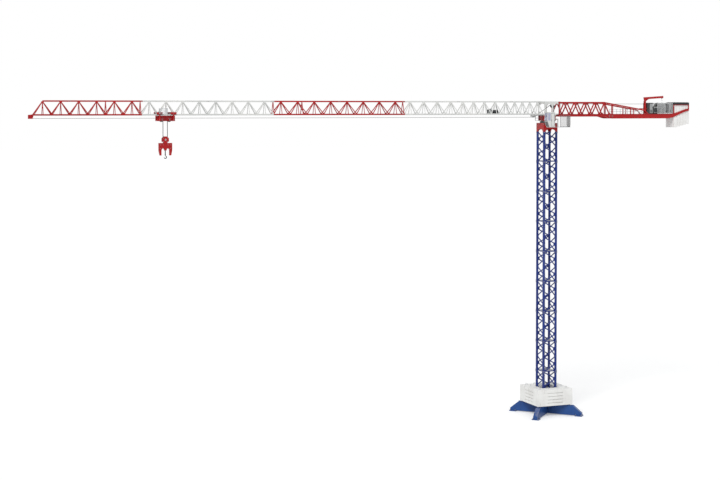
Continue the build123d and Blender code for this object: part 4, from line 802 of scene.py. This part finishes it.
# Counterweights.
# Cast concrete blocks hang across the tail. Black steel hangers stand on them, under bolted cover
# plates in dark paint.
weight_concrete = cast_concrete("weight_concrete", (0.89, 0.89, 0.88), (0.80, 0.79, 0.77))
dress(weight_concrete, "counterweights")
dress(black_steel, "hanger_blocks")
hanger_top, plate_top = 4871, 4875
hangers, plate_bolts = [], []
for x in (2273 + 57 * k for k in range(5)):
    for y in (-84, 84):
        cover = [(x - 21, y - 24), (x + 21, y - 24), (x + 21, y + 24), (x - 21, y + 24)]
        hangers.append(slab(cover, 2, hanger_top, plate_top))
        plate_bolts += [bolt((x + u, y + v, plate_top), (0, 0, 1), 5.5) for u in (-11, 11) for v in (-12, 12)]
piece("hanger_plates", hangers, dark_paint, "upper")
piece("hanger_bolts", plate_bolts, bolt_steel, "upper")


# Hoist winch.
# The drum carries tight windings of wire rope between two bolted flanges. It turns in bearing
# housings on painted steel cheeks that stand on the deck.
def wire_rope(name, along):
    """Greased wire rope: strands as slanting bands along the given direction."""
    made, tree, shader = surface(name)
    coordinates = node(tree, "TexCoord").outputs["Object"]
    bands = node(tree, "TexWave", wave_type="BANDS", bands_direction="DIAGONAL")
    tune(bands, Scale=1.0, Distortion=0.6)
    slant = tune(node(tree, "Mapping"), Scale=along)
    link(tree, coordinates, slant.inputs["Vector"])
    link(tree, slant.outputs[0], bands.inputs["Vector"])
    link(tree, mix(tree, bands.outputs[1], (0.010, 0.010, 0.010), (0.07, 0.068, 0.065)),
         shader.inputs["Base Color"])
    tune(shader, Metallic=0.75, Roughness=0.48)
    bump(tree, bands.outputs[1], shader, 0.6, 0.0006)
    return made


level_rope = wire_rope("level_rope", (110, 160, 160))
dress(dark_paint, "hoist_drum")
dress(grey_paint, "winch_cheeks")
drum_x, drum_z, drum_middle = 2050.0, 4784.0, (2050.0, 0, 4784.0)
core, rope_half, lay = 60.0, 1.5, 3.155
windings = [(-57.0, core)]
for k in range(36):
    windings += [(k * lay - 55.2 + rope_half * math.sin(a), core + 0.4 + rope_half * math.cos(a))
                 for a in np.radians((-75, -35, 0, 35, 75))]
windings.append((57.0, core))
piece("drum_rope", [lathe(drum_middle, windings, sides=48)], level_rope, "upper", ("hoist_drum",), 80)
flange = [(56, 84), (57.5, 88), (61, 88), (62, 86), (62, 80), (60, 78), (60, 34), (65, 32), (65, 12)]
bearing = [(73, 20), (73, 26), (79, 26), (82, 22), (82, 3)]
foot_high = deck + 5
foot = [(drum_x - 84, deck), (drum_x + 84, deck), (drum_x + 84, foot_high), (drum_x - 84, foot_high)]
drum, drum_bolts = [], []
for side in (-1, 1):
    drum.append(lathe(drum_middle, [(side * h, r) for h, r in flange], sides=48))
    drum.append(lathe(drum_middle, [(side * h, r) for h, r in bearing]))
    for count, ring, face, size in ((8, 56, 60, 5), (6, 22, 79, 3)):
        for turn in np.arange(count) * 2 * math.pi / count:
            spot = (drum_x + ring * math.cos(turn), side * face, drum_z + ring * math.sin(turn))
            drum_bolts.append(bolt(spot, (0, side, 0), size))
    drum_bolts += [bolt((drum_x + step, side * 82, foot_high), (0, 0, 1), 4.5) for step in (-70, -50, 50, 70)]
    drum.append(slab(foot, 1, *sorted((side * 70, side * 89))))
piece("drum_flanges", drum, grey_paint, "upper")
piece("drum_bolts", drum_bolts, bolt_steel, "upper")


# Machinery housings.
# Sheet-steel switch cabinets with framed doors, hinges, handles and louvres stand on the deck with
# a finned motor. Shells and louvres are in dark paint, doors and fins in grey.
def housing(x0, x1, y0, y1, z0, z1):
    """Sheet housing: body with rounded edges, foot strip and a roof that stands out a little."""
    y_mid, wide = (y0 + y1) / 2, y1 - y0
    return [bar((x0 + 1, y_mid, (z0 + z1) / 2), (x1 - 1, y_mid, (z0 + z1) / 2), wide - 2, z1 - z0 - 8),
            bar((x0, y_mid, z1 - 2.5), (x1, y_mid, z1 - 2.5), wide, 5),
            bar((x0 + 2, y_mid, z0 + 4), (x1 - 2, y_mid, z0 + 4), wide - 4, 8)]


dress(grey_paint, "control_cabinets")
shells, trims, louvres = [], [], []
for x0, x1, y0, y1 in ((1800, 1866, -95, -22), (1800, 1866, 22, 95), (2160, 2220, -95, 95)):
    shells += housing(x0, x1, y0, y1, deck, deck + 178)
    door = [(x0 + 6, 4706), (x1 - 6, 4706), (x1 - 6, 4854), (x0 + 6, 4854)]
    for face, y in ((-1, y0), (1, y1)):
        if abs(y) < 30:
            continue
        trims.append(slab(door, 1, *sorted((y, y + 1.8 * face))))
        for z in range(4718, 4755, 6):
            louvres.append(bar((x0 + 14, y + 2.2 * face, z), (x1 - 14, y + 2.2 * face, z), 2.4, 2.6))
        louvres.append(bar((x1 - 13, y + 4 * face, 4782), (x1 - 13, y + 4 * face, 4800), 3, 3))
        for z in (4730, 4835):
            trims.append(tube((x0 + 7, y + 2 * face, z - 6), (x0 + 7, y + 2 * face, z + 6), 2))
for y in np.linspace(-88, 88, 15):
    trims.append(bar((1893, y, 4756), (1947, y, 4756), 3, 96))
shells.append(bar((1896, 0, 4752), (1944, 0, 4752), 178, 92))
shells.append(bar((1892, 0, 4696), (1948, 0, 4696), 186, 12))
for side in (1, -1):
    cap = [(0, 34), (side * 6, 38), (side * 9, 36), (side * 9, 4)]
    shells.append(lathe((1920, side * 86, 4752), cap))
piece("machine_housings", shells, dark_paint, "upper", ("control_cabinets",))
piece("housing_doors_and_fins", trims, grey_paint, "upper")
piece("louvres_and_handles", louvres, dark_paint, "upper")

# Machinery guards.
# Flat steel bars, welded upright under a top rail, stand along both edges of the machine deck
# beside the winch. They are of pale galvanised steel.
pale_steel = metal("pale_steel", (0.56, 0.57, 0.58), (0.72, 0.73, 0.74), 0.45, 160, metallic=0.4)
guard_start, guard_end, guard_top, kick_level = 1945, 2232, 4862, 4700
guards = []
for y in (-100.5, 100.5):
    guards.append(bar((guard_start, y, guard_top), (guard_end, y, guard_top), 5, 9))
    guards.append(bar((guard_start, y, kick_level), (guard_end, y, kick_level), 3, 12))
    for k, x in enumerate(np.linspace(guard_start + 4, guard_end - 4, 12)):
        guards.append(bar((x, y, deck), (x, y, guard_top), 4.5, 8 if k % 2 else 5))
piece("machine_guards", guards, pale_steel, "upper")

# Davit.
# A square post stands on a bolted foot with ribs, and carries a turning arm with a stiffened knee,
# all in red paint. A short chain hoist of black steel hangs from the arm.
dress(red_paint, "davit_post", "davit_arm")
dress(black_steel, "davit_hook")
post_x, post_y, foot_top, joint, arm_low = 1716, -90, 4696.0, 4889, 4890.6
post = [bar((post_x, post_y, deck), (post_x, post_y, foot_top), 44),
        bar((post_x, post_y, 4880), (post_x, post_y, joint), 33)]
for x in (post_x - 11.5, post_x + 11.5):
    post.append(bar((x, post_y, deck), (x, post_y, joint), 22, 3))
foot = np.array([post_x, post_y, foot_top])
for reach in np.array([(1, 0, 0), (0, 1, 0), (-1, 0, 0), (0, -1, 0)], float):
    half = 1.5 * np.cross((0, 0, 1), reach)
    rib = np.array([foot + 10 * reach, foot + 20 * reach, foot + 10 * reach + (0, 0, 26)])
    post.append(loft([rib - half, rib + half]))
piece("davit_foot", post, red_paint, "upper")
heads = [bolt((post_x + u, post_y + v, foot_top), (0, 0, 1), 4.4) for u in (-16, 16) for v in (-16, 16)]
piece("davit_foot_bolts", heads, bolt_steel, "upper")
knee = [(1722, arm_low), (1730, arm_low), (1800, 4936), (1800, 4942), (1722, 4936)]
arm = [tube((post_x, post_y, 4851), (post_x, post_y, 4892), 5.8, 20),
       bar((post_x, post_y, arm_low), (post_x, post_y, 4952), 25),
       bar((post_x, post_y, arm_low), (post_x, post_y, 4898), 33),
       bar((1700, post_y, 4939), (2050, post_y, 4961), 22, 33),
       bar((1699, post_y, 4938.9), (1703, post_y, 4939.2), 26, 37),
       bar((2048, post_y, 4960.9), (2052, post_y, 4961.2), 26, 37),
       slab(knee, 1, post_y - 4, post_y + 4)]
piece("davit_boom", arm, red_paint, "davit", ("davit_arm",))
chain_x, hoist_level = 2033, 4940
chain = [lathe((chain_x, post_y, hoist_level), [(-6, 5), (-5, 7), (5, 7), (6, 5)], sides=20),
         bar((chain_x, post_y, 4951), (chain_x, post_y, hoist_level), 6, 3)]
for k in range(4):
    middle, way = np.array([chain_x, post_y, 4930 - 5.0 * k]), np.array([k % 2, 1 - k % 2, 0])
    turns = np.radians(np.arange(0, 360, 30))
    oval = [middle + 1.9 * math.cos(a) * way + (0, 0, 3.4 * math.sin(a)) for a in turns]
    chain.append(cable(oval, 0.75, 6, closed=True))
shank = [(chain_x, post_y, 4916), (chain_x, post_y, 4911)]
chain.append(cable(shank + arc((chain_x, 4906), 4.5, 80, -190, post_y, 12),
                   [1.6, 1.8] + [1.7] * 8 + [1.5, 1.2, 0.9, 0.6], 8))
piece("davit_chain", chain, black_steel, "davit", ("davit_hook",))

# Ropes.
# Round wire rope: two lines run from the drum over the head pulleys, under the jib to the nose,
# and four falls hang from the trolley. The falls stretch between the trolley and the hook block.
upright_rope = wire_rope("upright_rope", (160, 160, 110))
dress(level_rope, "hoist_rope")
dress(upright_rope, "fall_ropes")
upper_rope, rope_radius, rope_lines = 4849.0, 2.3, (-10, 10)
root_pulley, head_pulley, nose_pulley = (-238.0, 4663.0), (94.0, 4819.0), (-7966.0, 4663.0)
nose_turn, root_turn, head_turn, trolley_turn, block_turn = 22, 22, 30, 25, 32
reach = np.subtract(head_pulley, root_pulley)
climb = math.degrees(math.atan2(reach[1], reach[0]) + math.asin((root_turn + head_turn) / np.hypot(*reach)))
lines = []
for y in rope_lines:
    path = arc(nose_pulley, nose_turn, 130, 270, y) + arc(root_pulley, root_turn, -90, climb - 90, y, 6)
    path += arc(head_pulley, head_turn, 90 + climb, 90, y, 6) + [(drum_x, y, upper_rope)]
    lines.append(cable(path, rope_radius))
piece("hoist_lines", lines, level_rope, "upper", ("hoist_rope",))
trolley_x, block_axle, fall_top, wheel_offset = -6090.0, 4337.0, 4616.0, 57
falls, trolley_turns, block_turns = [], [], []
for y in rope_lines:
    for hand in (-1, 1):
        steps = np.linspace(fall_top, block_axle, 24)
        falls.append(cable([(trolley_x + block_turn * hand, y, z) for z in steps], rope_radius))
        bend = (180, 90) if hand > 0 else (0, 90)
        centre = (trolley_x + wheel_offset * hand, fall_top)
        trolley_turns.append(cable(arc(centre, trolley_turn, *bend, y), rope_radius))
    block_turns.append(cable(arc((trolley_x, block_axle), block_turn, 180, 360, y, 20), rope_radius))
fall_lines = piece("fall_lines", falls, upright_rope, None, ("fall_ropes",))
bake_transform(fall_lines)
piece("rope_over_trolley_pulleys", trolley_turns, upright_rope, "trolley")
piece("rope_under_block_pulleys", block_turns, upright_rope, "hook_block_body")

# Rope pulleys.
# Cast wheels of black steel with a thick grooved rim, a thin disc and a hub, in pairs on the
# nose, the jib's root, the turret, the trolley and the hook block.
def sheave(x, y, z, rope_radius):
    """Pulley about Y whose rope runs at the given radius."""
    half = [(0.0, rope_radius - 1.6), (1.3, rope_radius - 0.6), (2.6, rope_radius + 3), (4, rope_radius + 3),
            (4, rope_radius - 5), (1.5, rope_radius - 6.5), (1.5, 9), (2.6, 8), (4.4, 7.5), (4.4, 0.2)]
    return lathe((x, y, z), [(-h, r) for h, r in half[::-1]] + half[1:])


dress(black_steel, "guide_pulleys", "trolley_pulleys", "hook_block_pulleys")
guide_places = ((*nose_pulley, nose_turn), (*root_pulley, root_turn), (*head_pulley, head_turn))
trolley_places = [(trolley_x + wheel_offset * hand, fall_top, trolley_turn) for hand in (-1, 1)]
for name, body, stood, places in (
        ("guide_sheaves", "upper", "guide_pulleys", guide_places),
        ("trolley_sheaves", "trolley", "trolley_pulleys", trolley_places),
        ("block_sheaves", "hook_block_body", "hook_block_pulleys", ((trolley_x, block_axle, block_turn),))):
    wheels = [sheave(x, y, z, radius) for x, z, radius in places for y in rope_lines]
    piece(name, wheels, black_steel, body, (stood,), 30)

# Trolley.
# A welded red frame with stiffeners, axle caps and bolts rolls on flanged steel wheels on the
# jib's rails. A galvanised mesh basket for maintenance is fixed to one side.
dress(red_paint, "trolley_frame", "trolley_bogies")
dress(ring_steel, "trolley_wheels")
dress(galvanised, "trolley_basket")
frame_low, frame_high = 4604, 4673
details, caps = [], []
for side in (-1, 1):
    y, rib_y = side * 48, side * 49.5
    for z in (frame_low, frame_high):
        details.append(bar((trolley_x - 130, rib_y, z), (trolley_x + 130, rib_y, z), 9, 8))
    for x in (-126, -62, 0, 62, 126):
        details.append(bar((trolley_x + x, rib_y, frame_low), (trolley_x + x, rib_y, frame_high), 5, 7))
    for x in (trolley_x - wheel_offset, trolley_x + wheel_offset):
        caps.append(lathe((x, y, fall_top), [(0, 9), (side * 3, 9), (side * 4.5, 7), (side * 4.5, 1)]))
        caps += [bolt((x + u, y, fall_top + 22), (0, side, 0), 3.6) for u in (-14, 0, 14)]
    caps += [bolt((trolley_x + x, side * 90, z), (0, side, 0), 3.4)
             for x in (-100, 100) for z in (4612, 4626, 4700, 4712)]
piece("trolley_stiffeners", details, red_paint, "trolley")
piece("trolley_caps", caps, bolt_steel, "trolley")
wheel = [(-3.4, 4), (-3.4, 13.2), (-2.2, 14.8), (4.2, 14.8), (4.4, 13), (2.8, 11), (2.8, 7), (5, 6), (11, 4)]
wheels = [lathe((trolley_x + x, side * 73, 4701.3), [(side * h, r) for h, r in wheel])
          for x in (-122, -78, 78, 122) for side in (-1, 1)]
piece("trolley_wheel_set", wheels, ring_steel, "trolley", ("trolley_wheels",))
x0, x1, y0, y1, z0, z1 = -6199.5, -6092.5, -143.5, -92.5, 4702.0, 4778.0
wires = [((x, y0, z0), (x, y0, z1)) for x in np.linspace(x0, x1, 12)]
for y in np.linspace(y0, y1, 6):
    wires += [((x, y, z0), (x, y, z1)) for x in (x0, x1)]
for z in np.linspace(z0 + 12, z1 - 12, 5):
    wires += [((x0, y0, z), (x1, y0, z)), ((x0, y0, z), (x0, y1, z)), ((x1, y0, z), (x1, y1, z))]
piece("basket_mesh", [tube(start, end, 0.9, 6) for start, end in wires], galvanised, "trolley")

# Hook block.
# Two red cheek plates with raised rims and side straps hold the block's pulleys. Axle caps and
# bolts are galvanised.
dress(red_paint, "hook_block")
rims, block_caps = [], []
strap_low, strap_high = 4189, 4287
cheek = [(-47, 21.6), (-47, 69.4), (-21.6, 95), (21.6, 95), (47, 69.4), (47, 21.6)]
outline = [(trolley_x + u * 0.97, strap_high + w * 0.99) for u, w in cheek]
for side in (-1, 1):
    y = side * 23
    for (ax, az), (bx, bz) in zip(outline[:-1], outline[1:]):
        rims.append(bar((ax, y, az), (bx, y, bz), 4, 5))
    for x in (trolley_x - 88, trolley_x + 88):
        rims.append(bar((x, y, strap_low), (x, y, strap_high), 4, 8))
    rims.append(bar((trolley_x - 91, y, strap_high - 4), (trolley_x + 91, y, strap_high - 4), 4, 8))
    block_caps.append(lathe((trolley_x, y, block_axle), [(0, 13), (side * 3, 13), (side * 5, 10), (side * 5, 1)]))
    block_caps += [bolt((trolley_x + u, y, z), (0, side, 0), 4.4)
                   for out, z in ((30, 4310), (30, 4362), (70, 4265), (70, 4215), (35, 4265)) for u in (-out, out)]
piece("block_rims", rims, red_paint, "hook_block_body")
piece("block_caps", block_caps, bolt_steel, "hook_block_body")

# Load hook.
# Forged hook of black steel, whose section swells at the bottom of the bowl and thins to the tip.
# Its shank hangs in the block on a collar.
dress(black_steel, "load_hook")
shank = [(trolley_x, 0, z) for z in (4204, 4180, 4150, 4122, 4114)]
bowl = arc((trolley_x, 4090.5), 18, 78, -205, 0, 28)
bowl_size = [4.9 + 1.5 * math.sin(math.pi * min(k / 20, 1.0)) - max(0, k - 19) * 0.36 for k in range(len(bowl))]
collar = lathe((trolley_x, 0, 4128), [(-6, 7.5), (-5, 9), (5, 9), (6, 7.5)], (0, 0, 1))
hook = cable(shank + bowl, [7, 7, 7, 6.2, 5.8] + bowl_size, 16)
piece("forged_hook", [hook, collar], black_steel, "hook_body", ("load_hook",), 60)
